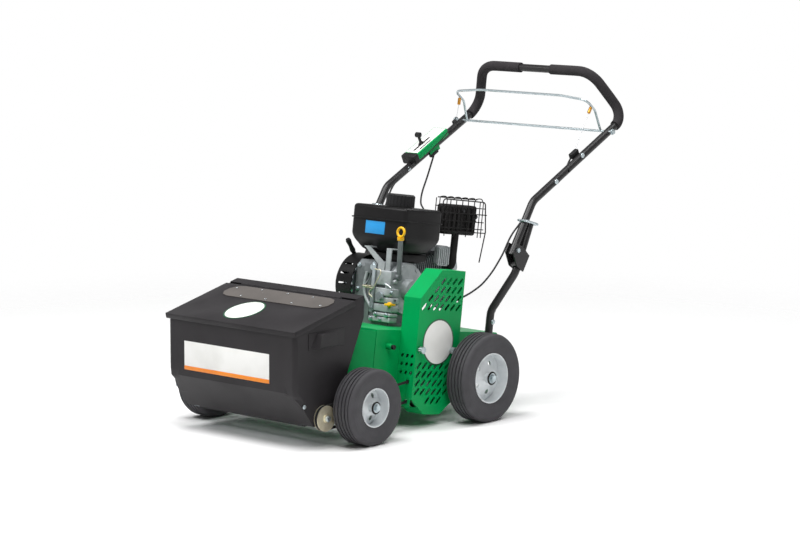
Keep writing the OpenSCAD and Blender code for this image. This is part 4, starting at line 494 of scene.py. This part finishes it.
# Side grips of the seed box: a pressed scoop on each side for the hand, deep at the front and fading to the rear.
# Formed from the same sheet on a shallow raised pad, and coated with it.
SCOOP_OUT, SCOOP_FOOT, PAD_FACE = 20, 267, 268.8
SCOOP = {(0, 0, 0): (0, -698, 309), (0, 0, 1): (0, -666, 351), (0, 1, 0): (0, -548, 306), (0, 1, 1): (0, -560, 350),
         (1, 0, 0): (SCOOP_OUT, -672, 307), (1, 0, 1): (SCOOP_OUT, -662, 348),
         (1, 1, 0): (3, -570, 307), (1, 1, 1): (3, -580, 349)}
for name, side in SIDES:
    scoop = slab((0, 0, 0), (1, 1, 1))
    for v in scoop.data.vertices:
        out, y, z = SCOOP[(int(v.co.x * side > 0), int(v.co.y > 0), int(v.co.z > 0))]
        v.co = level(side * (SCOOP_FOOT + out), y, z)
    pad = slab(level(side * PAD_FACE, -622.5, 328.5), (0.0024, 0.158, 0.052))
    fit(f"hand_recess_{name}", [soften(scoop, 0.0035, 3), soften(pad, 0.0011, 2)], "chassis",
        charcoal_coat)

# Lid: one sheet with square corners and turned-down rims on three sides, slotted under the sight strip.
# Three rolled knuckles at its rear run on the hinge pin; it has the box's charcoal coat.
LID_SLOPE = math.radians(13.7)
LID_ALONG = Vector((0, math.cos(LID_SLOPE), math.sin(LID_SLOPE)))
LID_UP = Vector((0, -math.sin(LID_SLOPE), math.cos(LID_SLOPE)))
LID_HINGE = (-494.6, 430.6)
LID_HALF, LID_FRONT, LID_BACK, RIM_DEPTH, RIM_SHEET, LID_SHEET = 273.5, -279, -6, 15, 2.5, 3
SLOT_HALF, SLOT_AT, SLOT_WIDE = 210, -58, 60
KNUCKLES, KNUCKLE_HALF = (-120, 0, 120), 29.8
LEVEL_FACE = 0.9


def on_lid(x, along, above):
    """A place on the lid: across, back from its hinge line, and above the sheet's middle, in millimetres."""
    return level(x, *LID_HINGE) + LID_ALONG * along / 1000 + LID_UP * above / 1000


def lid_bar(x0, x1, along0, along1, above0, above1):
    """A bar of sheet in the lid's own frame, in millimetres."""
    return slab(on_lid((x0 + x1) / 2, (along0 + along1) / 2, (above0 + above1) / 2),
                ((x1 - x0) / 1000, (along1 - along0) / 1000, (above1 - above0) / 1000), (LID_SLOPE, 0, 0))


def pick_parts(piece, kind, wanted):
    """Goes into edit mode with only the wanted faces or edges of a piece selected."""
    pick_only(piece)
    bpy.ops.object.mode_set(mode="EDIT")
    bpy.ops.mesh.select_mode(type=kind)
    bpy.ops.mesh.select_all(action="DESELECT")
    bpy.ops.object.mode_set(mode="OBJECT")
    for part in piece.data.polygons if kind == "FACE" else piece.data.edges:
        part.select = wanted(part)
    bpy.ops.object.mode_set(mode="EDIT")


lid_sheet = lid_bar(-LID_HALF, LID_HALF, LID_FRONT, LID_BACK, -LID_SHEET / 2, LID_SHEET / 2)
pick_parts(lid_sheet, "FACE", lambda face: abs(face.normal.z) > LEVEL_FACE)
bpy.ops.mesh.inset(thickness=0.01, use_individual=True)
bpy.ops.object.mode_set(mode="OBJECT")
for face in lid_sheet.data.polygons:
    if face.select:
        for i in face.vertices:
            v = lid_sheet.data.vertices[i].co
            v.x = math.copysign(SLOT_HALF / 1000, v.x)
            v.y = (SLOT_AT - (LID_FRONT + LID_BACK) / 2 + math.copysign(SLOT_WIDE / 2, v.y)) / 1000
bpy.ops.object.mode_set(mode="EDIT")
bpy.ops.mesh.bridge_edge_loops()
bpy.ops.object.mode_set(mode="OBJECT")
rim_top = -LID_SHEET / 2 + 0.4
lid_parts = [lid_sheet, lid_bar(-LID_HALF, LID_HALF, LID_FRONT, LID_FRONT + RIM_SHEET, -RIM_DEPTH, rim_top)]
lid_parts += [lid_bar(x, x + RIM_SHEET, LID_FRONT + RIM_SHEET, LID_BACK, -RIM_DEPTH, rim_top)
              for x in (-LID_HALF, LID_HALF - RIM_SHEET)]
lid_parts = [soften(part, 0.0009) for part in lid_parts]
for x in KNUCKLES:
    roll = drum(on_lid(x - KNUCKLE_HALF, 0, 0), on_lid(x + KNUCKLE_HALF, 0, 0), 0.005, 28)
    lid_parts.append(soften(roll, 0.0005))
    lid_parts.append(lid_bar(x - KNUCKLE_HALF, x + KNUCKLE_HALF, LID_BACK - 1, 0, -LID_SHEET / 2 + 0.1,
                             LID_SHEET / 2 - 0.1))
lid_piece = fit("lid_sheet", lid_parts, "lid", charcoal_coat)
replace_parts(lid_piece, "lid")

# Lid fittings: a smoked strip over the sight slot, eight pop rivets and a plain oval badge.
# The strip is cut from sheet; the rivets are 7 mm aluminium domes through the strip and the lid.
STRIP_FACE, LID_FACE = 3.4, 1.5
# Polycarbonate: smooth, smoky and satin. Aluminium: bright, with a fine drawn grain.
polycarbonate = coat("smoked_polycarbonate", "#625D5A", "#5A5653", (0.3, 0.4), 3.0, 0.02, shine=0.2)
bright_aluminium = coat("bright_aluminium", "#C9CDD0", "#B4B9BD", (0.25, 0.4), 0.6, 0.05, metallic=0.9, patch_mm=10)
dress(polycarbonate, "lid_window")


def dome(at, axis, radius, height):
    """A rivet or bolt head: a flat drum with its rim drawn in to a dome."""
    at, axis = Vector(at), Vector(axis).normalized()
    head = drum(at, at + axis * height, radius, 28)
    return soften(head, height * 0.85, 5)


rivets = [dome(on_lid(x, along, STRIP_FACE), LID_UP, 0.0036, 0.0024)
          for x, along in [(-195, -38), (-95, -28), (15, -28), (120, -28), (-130, -88), (-25, -88), (85, -88),
                           (195, -78)]]
fit("window_rivets", rivets, "lid", bright_aluminium)
badge("lid_badge", "lid", on_lid(-27.6, -179, LID_FACE), LID_UP, LID_ALONG, 0.124, 0.141)

# Engine castings: die-cast aluminium crankcase, side cover, cylinder, head and brackets, with webs across the case.
# Small zinc bolts hold the cover, and a yellow moulded plug closes the oil filler.
CASE_FACE = -165
WEBS = [((48, 112), -199, (256, 302)), ((52, 122), -200, (223, 247)), ((50, 126), -197, (200, 218)),
        ((48, 126), -199, (173, 196)), ((58, 126), -203, (158, 169)), ((34, 124), -201, (140, 156))]
CASE_BOLTS = [(-30, -190, 158), (-30, -190, 235), (-30, -190, 310), (30, -190, 318), (66, -203, 163.5),
              (110, -203, 163.5), (46, -201, 148), (84, -201, 148), (120, -200, 235)]
# Die casting: pale and dull with a grain about 2 mm across. The darker casting is painted shade on the crankcase and
# the cylinder, and the dipstick tube and the control bracket also wear it.
# Moulded yellow plastic is satin and even.
cast_aluminium = coat("die_cast_aluminium", "#B4B9BB", "#9DA3A5", (0.45, 0.6), 2.0, 0.2, metallic=0.35, patch_mm=24)
shade_and_dark_aluminium = coat("painted_shade_dark_cast_aluminium", "#7D8284", "#6A6F71", (0.5, 0.65), 2.0, 0.16, metallic=0.6, patch_mm=25)
yellow_plastic = coat("yellow_moulded_plastic", "#F6BE10", "#EDB30A", (0.35, 0.45), 1.2, 0.04, patch_mm=30)
dress(cast_aluminium, "crankcase_cover", "rocker_cover", "cylinder_shroud", "carburettor", "tank_brackets")
# Painted shade: the crankcase behind the bright webs and the finned cylinder are coloured darker, so the grooves and
# fins read as shaded.
dress(shade_and_dark_aluminium, "engine_cylinder", "crankcase", "dipstick_tube")
dress(yellow_plastic, "dipstick")
dress(zinc_plate, "oil_plugs")
webs = [soften(block(xs, (front, CASE_FACE), zs), 0.003, 3) for xs, front, zs in WEBS]
fit("crankcase_webs", webs, "chassis", cast_aluminium)
case_bolts = []
for place in CASE_BOLTS:
    case_bolts += hex_bolt(pitched(*place), AHEAD, across=0.010, height=0.006, washer=0.0075)
fit("crankcase_bolts", case_bolts, "chassis", zinc_plate)
filler = [soften(drum(pitched(118, -180, 197), pitched(118, -204, 197), 0.0085, 32), 0.001, 3),
          soften(slab(pitched(118, -208, 197), (0.022, 0.012, 0.007), LEAN), 0.0016, 3)]
fit("filler_plug", filler, "chassis", yellow_plastic)

# Governor linkage: bent wire rods and a coil spring in yellow zinc, hooked through the upright lever.
# A stamped bracket with a nut carries the stay, and studs, a bead and a drain pin stand on the case beside it.
ROD = [(50, -209, 304), (64, -209, 303), (76, -209, 301), (77, -209, 295), (65, -209, 270), (51, -209, 244),
       (38, -209, 233), (36, -209, 226), (43, -209, 219), (48, -207, 214)]
BEAD = [(8, -195, 292), (2, -195, 264), (2, -195, 236), (10, -195, 214), (24, -195, 196), (46, -195, 172)]
COIL_TURNS, COIL_STEPS, COIL_RADIUS, COIL_LONG, COIL_START = 9, 8, 4.0, 36, (14, -216, 247)


def wire(points, radius, sides=5, capped=True):
    """A round wire or tube bent smoothly through points."""
    bpy.ops.object.select_all(action="DESELECT")
    bpy.ops.curve.primitive_bezier_curve_add()
    path = bpy.context.object
    spline = path.data.splines[0]
    spline.bezier_points.add(len(points) - 2)
    for knot, place in zip(spline.bezier_points, points):
        knot.co = place
        knot.handle_left_type = knot.handle_right_type = "AUTO"
    spline.resolution_u = 8
    path.data.dimensions = "3D"
    path.data.bevel_depth = radius
    path.data.bevel_resolution = sides
    path.data.use_fill_caps = capped
    pick_only(path)
    bpy.ops.object.convert(target="MESH")
    bpy.ops.object.shade_smooth()
    return bpy.context.object


def leaning(points):
    """Places in millimetres in the chassis's leaning frame."""
    return [pitched(*p) for p in points]


fit("governor_rod", [wire(leaning(ROD), 0.0016)], "governor", yellow_zinc)
coil = []
for t in range(COIL_TURNS * COIL_STEPS + 1):
    turn = t * 2 * math.pi / COIL_STEPS
    coil.append((COIL_START[0] + COIL_LONG * t / (COIL_TURNS * COIL_STEPS),
                 COIL_START[1] + COIL_RADIUS * math.cos(turn), COIL_START[2] + COIL_RADIUS * math.sin(turn)))
fit("governor_spring", [wire(leaning(coil), 0.0007, 3)], "chassis", yellow_zinc)
stay = [wire(leaning([(26, -197, 290), (21, -197, 272), (13, -206, 252), (12, -215, 246)]), 0.0025),
        soften(slab(pitched(20, -193, 304), (0.052, 0.006, 0.034), LEAN), 0.002, 3)]
fit("control_bracket", stay, "chassis", shade_and_dark_aluminium)
control_nut = hex_bolt(pitched(34, -196, 309), AHEAD, across=0.018, height=0.0065, washer=0.012)
fit("control_nut", control_nut, "chassis", zinc_plate)
studs = [wire(leaning(BEAD), 0.005),
         soften(drum(pitched(96, -182, 268), pitched(122, -182, 270), 0.007, 28), 0.0015, 3),
         soften(drum(pitched(96, -184, 212), pitched(126, -184, 212), 0.006, 28), 0.0015, 3)]
fit("crankcase_studs", studs, "chassis", cast_aluminium)
pin = wire(leaning([(94, -202, 262), (104, -203, 258), (122, -203, 250)]), 0.0028)
fit("drain_pin", [pin], "chassis", bright_aluminium)

# Engine covers: blow-moulded tank, recoil housing and air cleaner in black, bolted round the cylinder.
# A plain blue panel is stuck on the tank's front, and a baffle fills the space under the tank.
BLUE_LEFT, BLUE_RIGHT, BLUE_LOW, BLUE_HIGH, BLUE_FACE = -34, 47, 413, 453, -176
TANK_FOOT, TANK_SHOULDER, TANK_TOP, TANK_SEAM, TANK_MIDDLE = 359, 400, 504, 461, (17, -86)
TANK_WIDE, TANK_LONG, SEAM_PROUD = 0.226, 0.180, 0.012
TANK_DRAW = (0.72, 0.70, 1)
CLEANER_MIDDLE = (-57.5, 81)
# Enamel: deep black and satin. Moulded nylon: a little greyer, with a fine grain about 0.9 mm across.
satin_black = coat("satin_black_enamel", "#121112", "#171617", (0.3, 0.44), 1.6, 0.06, patch_mm=70, shine=0.2)
moulded_black = coat("moulded_black_nylon", "#1B1B1C", "#222223", (0.45, 0.6), 0.9, 0.14, patch_mm=50, shine=0.25)
blue_vinyl = coat("blue_vinyl", "#2A9FE6", "#2492D6", (0.35, 0.45), 2.0, 0.02)
dress(satin_black, "recoil_housing")
dress(moulded_black, "fuel_cap", "starter_grip", "throttle_lever")


def rounded_plate(centre, size, corner, edge):
    """A block of the engine's leaning frame with large upright corners and small rounded edges."""
    plate = slab(centre, size, LEAN)
    at = plate.data.vertices
    pick_parts(plate, "EDGE", lambda rim: abs(at[rim.vertices[0]].co.z - at[rim.vertices[1]].co.z) > size[2] / 2)
    bpy.ops.mesh.bevel(offset=corner, segments=6)
    bpy.ops.object.mode_set(mode="OBJECT")
    return soften(plate, edge, 3)


blue_foot = pitched(BLUE_LEFT, BLUE_FACE, BLUE_LOW)
blue = sheet(blue_foot, pitched(BLUE_RIGHT, BLUE_FACE, BLUE_LOW) - blue_foot,
             pitched(BLUE_LEFT, BLUE_FACE, BLUE_HIGH) - blue_foot, 0.0006, 0.0002)
fit("tank_panel", [blue], "chassis", blue_vinyl)
tank = slab((0, 0, 0), (TANK_WIDE, TANK_LONG, (TANK_TOP - TANK_SHOULDER) / 1000))
pick_parts(tank, "FACE", lambda face: face.normal.z < -LEVEL_FACE)
bpy.ops.mesh.extrude_region_move(TRANSFORM_OT_translate={"value": (0, 0, (TANK_FOOT - TANK_SHOULDER) / 1000)})
bpy.ops.transform.resize(value=TANK_DRAW, center_override=(0, 0, 0))
bpy.ops.object.mode_set(mode="OBJECT")
tank.location = pitched(*TANK_MIDDLE, (TANK_SHOULDER + TANK_TOP) / 2)
tank.rotation_euler = LEAN
tank_parts = [soften(tank, 0.012, 4),
              rounded_plate(pitched(*TANK_MIDDLE, TANK_SEAM), (TANK_WIDE + SEAM_PROUD, TANK_LONG + SEAM_PROUD, 0.004),
                            0.018, 0.0012),
              soften(drum(pitched(37, -101, 500), pitched(37, -101, 515), 0.030, 40), 0.001)]
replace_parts(fit("fuel_tank_shell", tank_parts, "chassis", satin_black), "fuel_tank")
cleaner = [rounded_plate(pitched(*CLEANER_MIDDLE, 443), (0.099, 0.132, 0.036), 0.016, 0.002),
           rounded_plate(pitched(*CLEANER_MIDDLE, 476), (0.105, 0.138, 0.036), 0.019, 0.006),
           soften(drum(pitched(*CLEANER_MIDDLE, 492), pitched(*CLEANER_MIDDLE, 501), 0.013, 12), 0.002)]
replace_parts(fit("air_cleaner_case", cleaner, "chassis", moulded_black), "air_cleaner")
baffle = rounded_plate(pitched(25, -62, 344), (0.124, 0.130, 0.030), 0.014, 0.006)
fit("cooling_baffle", [baffle], "chassis", satin_black)

# Muffler: a pressed shell with beads across its side on a bent pipe, held by two bolts, inside a welded wire guard.
# The guard's bars are bent over the shell's top and welded where they cross.
MUFFLER_MIDDLE, BEAD_WIRE = (85, 125, 478.5), 0.0045
PIPE = [(84, 105.8, 327), (94, 105.8, 327), (101, 105.8, 336), (102, 106, 370), (100, 110, 440)]
GUARD_SIDE, GUARD_FRONT, GUARD_BACK, GUARD_TOP, GUARD_WIRE = 118, 14, 86, 547, 0.0016
# Heat-proof paint: dead matt, with grit about 1 mm across.
heat_black = coat("heat_proof_black", "#191818", "#222020", (0.6, 0.8), 1.0, 0.2, patch_mm=40, shine=0.2)
dress(heat_black, "muffler_guard")
shell = [rounded_plate(pitched(*MUFFLER_MIDDLE), (0.054, 0.150, 0.097), 0.013, 0.009),
         rounded_plate(pitched(*MUFFLER_MIDDLE), (0.059, 0.155, 0.004), 0.015, 0.001),
         wire(leaning(PIPE), 0.012, 8),
         soften(drum(pitched(81, 105.8, 327), pitched(87, 105.8, 327), 0.019, 32), 0.001)]
shell += [wire(leaning([(110, y, 440), (113, y, 446), (113, y, 511), (110, y, 518)]), BEAD_WIRE)
          for y in (76, 98, 150, 172)]
shell += [wire(leaning([(x, 52, 440), (x, 49, 446), (x, 49, 511), (x, 52, 518)]), BEAD_WIRE) for x in (76, 94)]
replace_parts(fit("muffler_shell", shell, "chassis", heat_black), "muffler")
muffler_bolts = []
for y, z in [(122, 508), (188, 492)]:
    muffler_bolts += hex_bolt(pitched(112, y, z), SIDE, across=0.011, height=0.006, washer=0.009)
fit("muffler_bolts", muffler_bolts, "chassis", black_oxide)
hoops = [wire(leaning([(GUARD_SIDE, y, 541), (114, y, 549), (106, y, 551), (96, y, 550), (GUARD_BACK, y, GUARD_TOP)]),
              0.0017) for y in (32, 68, 104, 140, 176, 212)]
hoops.append(wire(leaning([(GUARD_BACK, y, GUARD_TOP) for y in (24, 118, 220)]), 0.0019))
hoops += [wire(leaning([(GUARD_SIDE, y, z) for z in (541, 500, 460, 425)]), GUARD_WIRE)
          for y in (32, 80, 140, 200, 216)]
hoops += [wire(leaning([(GUARD_SIDE, y, z) for y in (15, 80, 150, 226)]), GUARD_WIRE) for z in (452, 475, 520)]
hoops += [wire(leaning([(x, GUARD_FRONT, z) for z in (545, 500, 445)]), GUARD_WIRE) for x in (88, 103)]
hoops += [wire(leaning([(x, GUARD_FRONT, z) for x in (GUARD_SIDE, 103, GUARD_BACK)]), GUARD_WIRE)
          for z in (452, 488, 520)]
fit("guard_hoops", hoops, "chassis", heat_black)

# Handle: bent steel tube in gloss black, with zinc bolts through its legs.
# Foam sleeves are pushed over its corners from each end.
GRIP_RADIUS, GRIP_WALL = 17.0, 4.2
BARE_HALF, TOP_HALF, LEG_HALF = 65, 232, 313
TOP, HEEL, LEG_ALONG = (705, 1054), (784, 904), Vector((0, 0.8955, 0.445))
TOP_BEND, HEEL_BEND = 82, 55
LEG_DOMES = [((325.5, 539.4, 795), SIDE, 0.0085, 0.006), ((325.5, 403.5, 720), SIDE, 0.0085, 0.006),
             ((-300.6, 398.3, 717), SIDE, 0.0075, 0.005), ((-325.5, 539.4, 795), -SIDE, 0.0085, 0.006)]
# Gloss coat: smooth and dark, with long soft highlights. Closed-cell foam: matt, with pores about 1.5 mm apart.
gloss_black = coat("gloss_black_coat", "#1C1B1C", "#222122", (0.3, 0.4), 1.4, 0.02, patch_mm=80, shine=0.4)
closed_foam = coat("closed_cell_foam", "#302E30", "#383537", (0.8, 0.92), 1.5, 0.3, patch_mm=20, shine=0.15)
dress(gloss_black, "lower_handles", "upper_handle", "hinge_brackets")


def bent(points, radii, steps=10):
    """The middle line of a tube through points, with each corner rounded to its radius."""
    line = [points[0]]
    for i in range(1, len(points) - 1):
        coming, going = (points[i] - points[i - 1]).normalized(), (points[i + 1] - points[i]).normalized()
        turn = coming.angle(going)
        start = points[i] - coming * radii[i - 1] * math.tan(turn / 2)
        inward = (going - coming * coming.dot(going)).normalized()
        for k in range(steps + 1):
            part = turn * k / steps
            line.append(start + radii[i - 1] * (inward * (1 - math.cos(part)) + coming * math.sin(part)))
    return line + [points[-1]]


heel = Vector((LEG_HALF, *HEEL))
riser = (Vector((TOP_HALF, *TOP)) - heel).normalized()
sleeve_foot = heel - LEG_ALONG * (HEEL_BEND * math.tan(LEG_ALONG.angle(riser) / 2) + 2)
grip_line = bent([Vector((BARE_HALF, *TOP)), Vector((TOP_HALF, *TOP)), heel, sleeve_foot], [TOP_BEND, HEEL_BEND])
for name, side in SIDES:
    sleeve = wire([level(side * p.x, p.y, p.z) for p in grip_line], GRIP_RADIUS / 1000, 10, capped=False)
    pick_only(sleeve)
    wall = sleeve.modifiers.new("foam", "SOLIDIFY")
    wall.thickness = GRIP_WALL / 1000
    wall.offset = -1
    bpy.ops.object.modifier_apply(modifier=wall.name)
    grip = fit(f"foam_grip_{name}", [soften(sleeve, 0.0015, 3)], "handle", closed_foam)
    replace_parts(grip, "grips")
leg_bolts = [dome(level(*place), axis, radius, height) for place, axis, radius, height in LEG_DOMES]
for side in (1, -1):
    leg_bolts += hex_bolt(level(side * 336, 688, 862), SIDE * side, across=0.013, height=0.008, washer=0.010)
fit("leg_bolts", leg_bolts, "handle", zinc_plate)

# Control cables: bare steel wire from the bail to a black clip on each leg, then black-sheathed cable to the engine,
# the idler and the gate. Each sheath is clipped to the machine.
SHEATH, BARE_WIRE = 0.003, 0.0008
CLUTCH_ROUTE = [(291, 541, 800), (295, 510, 774), (301, 470, 728), (302, 399, 692), (299, 325, 655), (288, 262, 590),
                (281, 235, 560), (280, 180, 490), (276, 110, 425), (276, 50, 398), (276, -35.3, 376.9)]
SEED_ROUTE = [(-286, 628, 863), (-286, 524, 790), (-288, 400, 728), (-284, 300, 668), (-281, 240, 570),
              (-280, 180, 490), (-262, 60, 360), (-245, -120, 300), (-244, -300, 260), (-262, -430, 225),
              (-278, -520, 160), (-278, -600, 84), (-268, -622, 60), (-256, -632, 67)]
THROTTLE_ROUTE = [(-300, 528, 754), (-290, 490, 700), (-230, 380, 620), (-130, 285, 590), (-66, 232, 535),
                  (-60, 190, 503)]
BARE_ROUTES = [[(291, 541, 800), (287, 585, 864), (284, 628, 924)],
               [(-286, 628, 863), (-285, 632, 890), (-283, 638, 920)]]
CLIP_TILT = (0.46, 0, 0)
# Extruded vinyl: satin black, nearly smooth. Brass: rolled, warm and bright.
vinyl_sheath = coat("black_vinyl_sheath", "#1A1A1B", "#222223", (0.4, 0.55), 0.8, 0.06, patch_mm=40, shine=0.3)
brass = coat("rolled_brass", "#C98F3C", "#B57E31", (0.22, 0.38), 0.7, 0.05, metallic=0.9, patch_mm=10)


def cable(name, node, route):
    """A sheathed cable along its route, between the chassis and the handle."""
    piece = wire([level(*p) for p in route], SHEATH, 4)
    pick_only(piece)
    piece.name = piece.data.name = name
    piece.data.materials.append(vinyl_sheath)
    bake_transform(piece)
    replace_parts(piece, node)


cable("clutch_sheath", "clutch_cable", CLUTCH_ROUTE)
cable("seed_sheath", "seed_cable", SEED_ROUTE)
cable("throttle_sheath", "throttle_cable", THROTTLE_ROUTE)
bare_wires = [wire([level(*p) for p in route], BARE_WIRE, 3) for route in BARE_ROUTES]
fit("bare_wires", bare_wires, "handle", bright_aluminium)
cable_ends = [soften(slab(level(x, y, z), (0.008, 0.010, 0.024), (lean, 0, 0)), 0.002, 3)
              for x, y, z, lean in [(283, 634, 934, -0.6), (-283, 640, 931, -0.2)]]
fit("brass_cable_ends", cable_ends, "bail", brass)
clips = [soften(slab(level(293, 539, 797), (0.016, 0.040, 0.020), CLIP_TILT), 0.004, 3),
         soften(slab(level(-292, 628, 860), (0.014, 0.018, 0.016), CLIP_TILT), 0.004, 3)]
fit("cable_clips", clips, "handle", moulded_black)

# Throttle box: a shallow folded green box on top of the left leg, with a plain white top panel and two dark slots.
# A moulded black cap closes its lower end, and a tab under it clamps the cable; the lever is moulded black nylon.
LEG_RUN, LEG_RISE, LEG_FOOT = 0.8957, 0.4446, (301, 664)
LEG_TILT = (math.atan2(LEG_RISE, LEG_RUN), 0, 0)
PANEL_ABOVE, SLOT_ABOVE = 36.5, 36.9


def on_leg(x, along, above):
    """A place by the handle's long leg, in millimetres along it and above its middle."""
    return level(x, LEG_FOOT[0] + LEG_RUN * along - LEG_RISE * above, LEG_FOOT[1] + LEG_RISE * along + LEG_RUN * above)


def leg_panel(x, along, width, length, above):
    """A thin panel lying on the throttle box, its long side along the leg."""
    upward = on_leg(0, along + length, above) - on_leg(0, along, above)
    return sheet(on_leg(x, along, above), Vector((width / 1000, 0, 0)), upward, 0.0008, 0.0002)


box_parts = [soften(slab(on_leg(-313, 240, 24.5), (0.058, 0.172, 0.024), LEG_TILT), 0.002, 3),
             soften(slab(on_leg(-297.5, 252, 1), (0.003, 0.052, 0.034), LEG_TILT), 0.001)]
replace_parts(fit("throttle_housing", box_parts, "handle", green_powder_coat), "throttle_box")
fit("throttle_panel", [leg_panel(-338, 160, 50, 162, PANEL_ABOVE)], "handle", white_vinyl)
slots = [leg_panel(-317, 172, 8, 90, SLOT_ABOVE), leg_panel(-298, 182, 5, 66, SLOT_ABOVE)]
fit("throttle_slots", slots, "handle", moulded_black)
cap = [soften(slab(on_leg(-313, 146, 22), (0.061, 0.026, 0.034), LEG_TILT), 0.006, 4),
       soften(slab(on_leg(-301, 246, -15), (0.013, 0.042, 0.014), LEG_TILT), 0.004, 3)]
fit("throttle_end_cap", cap, "handle", moulded_black)
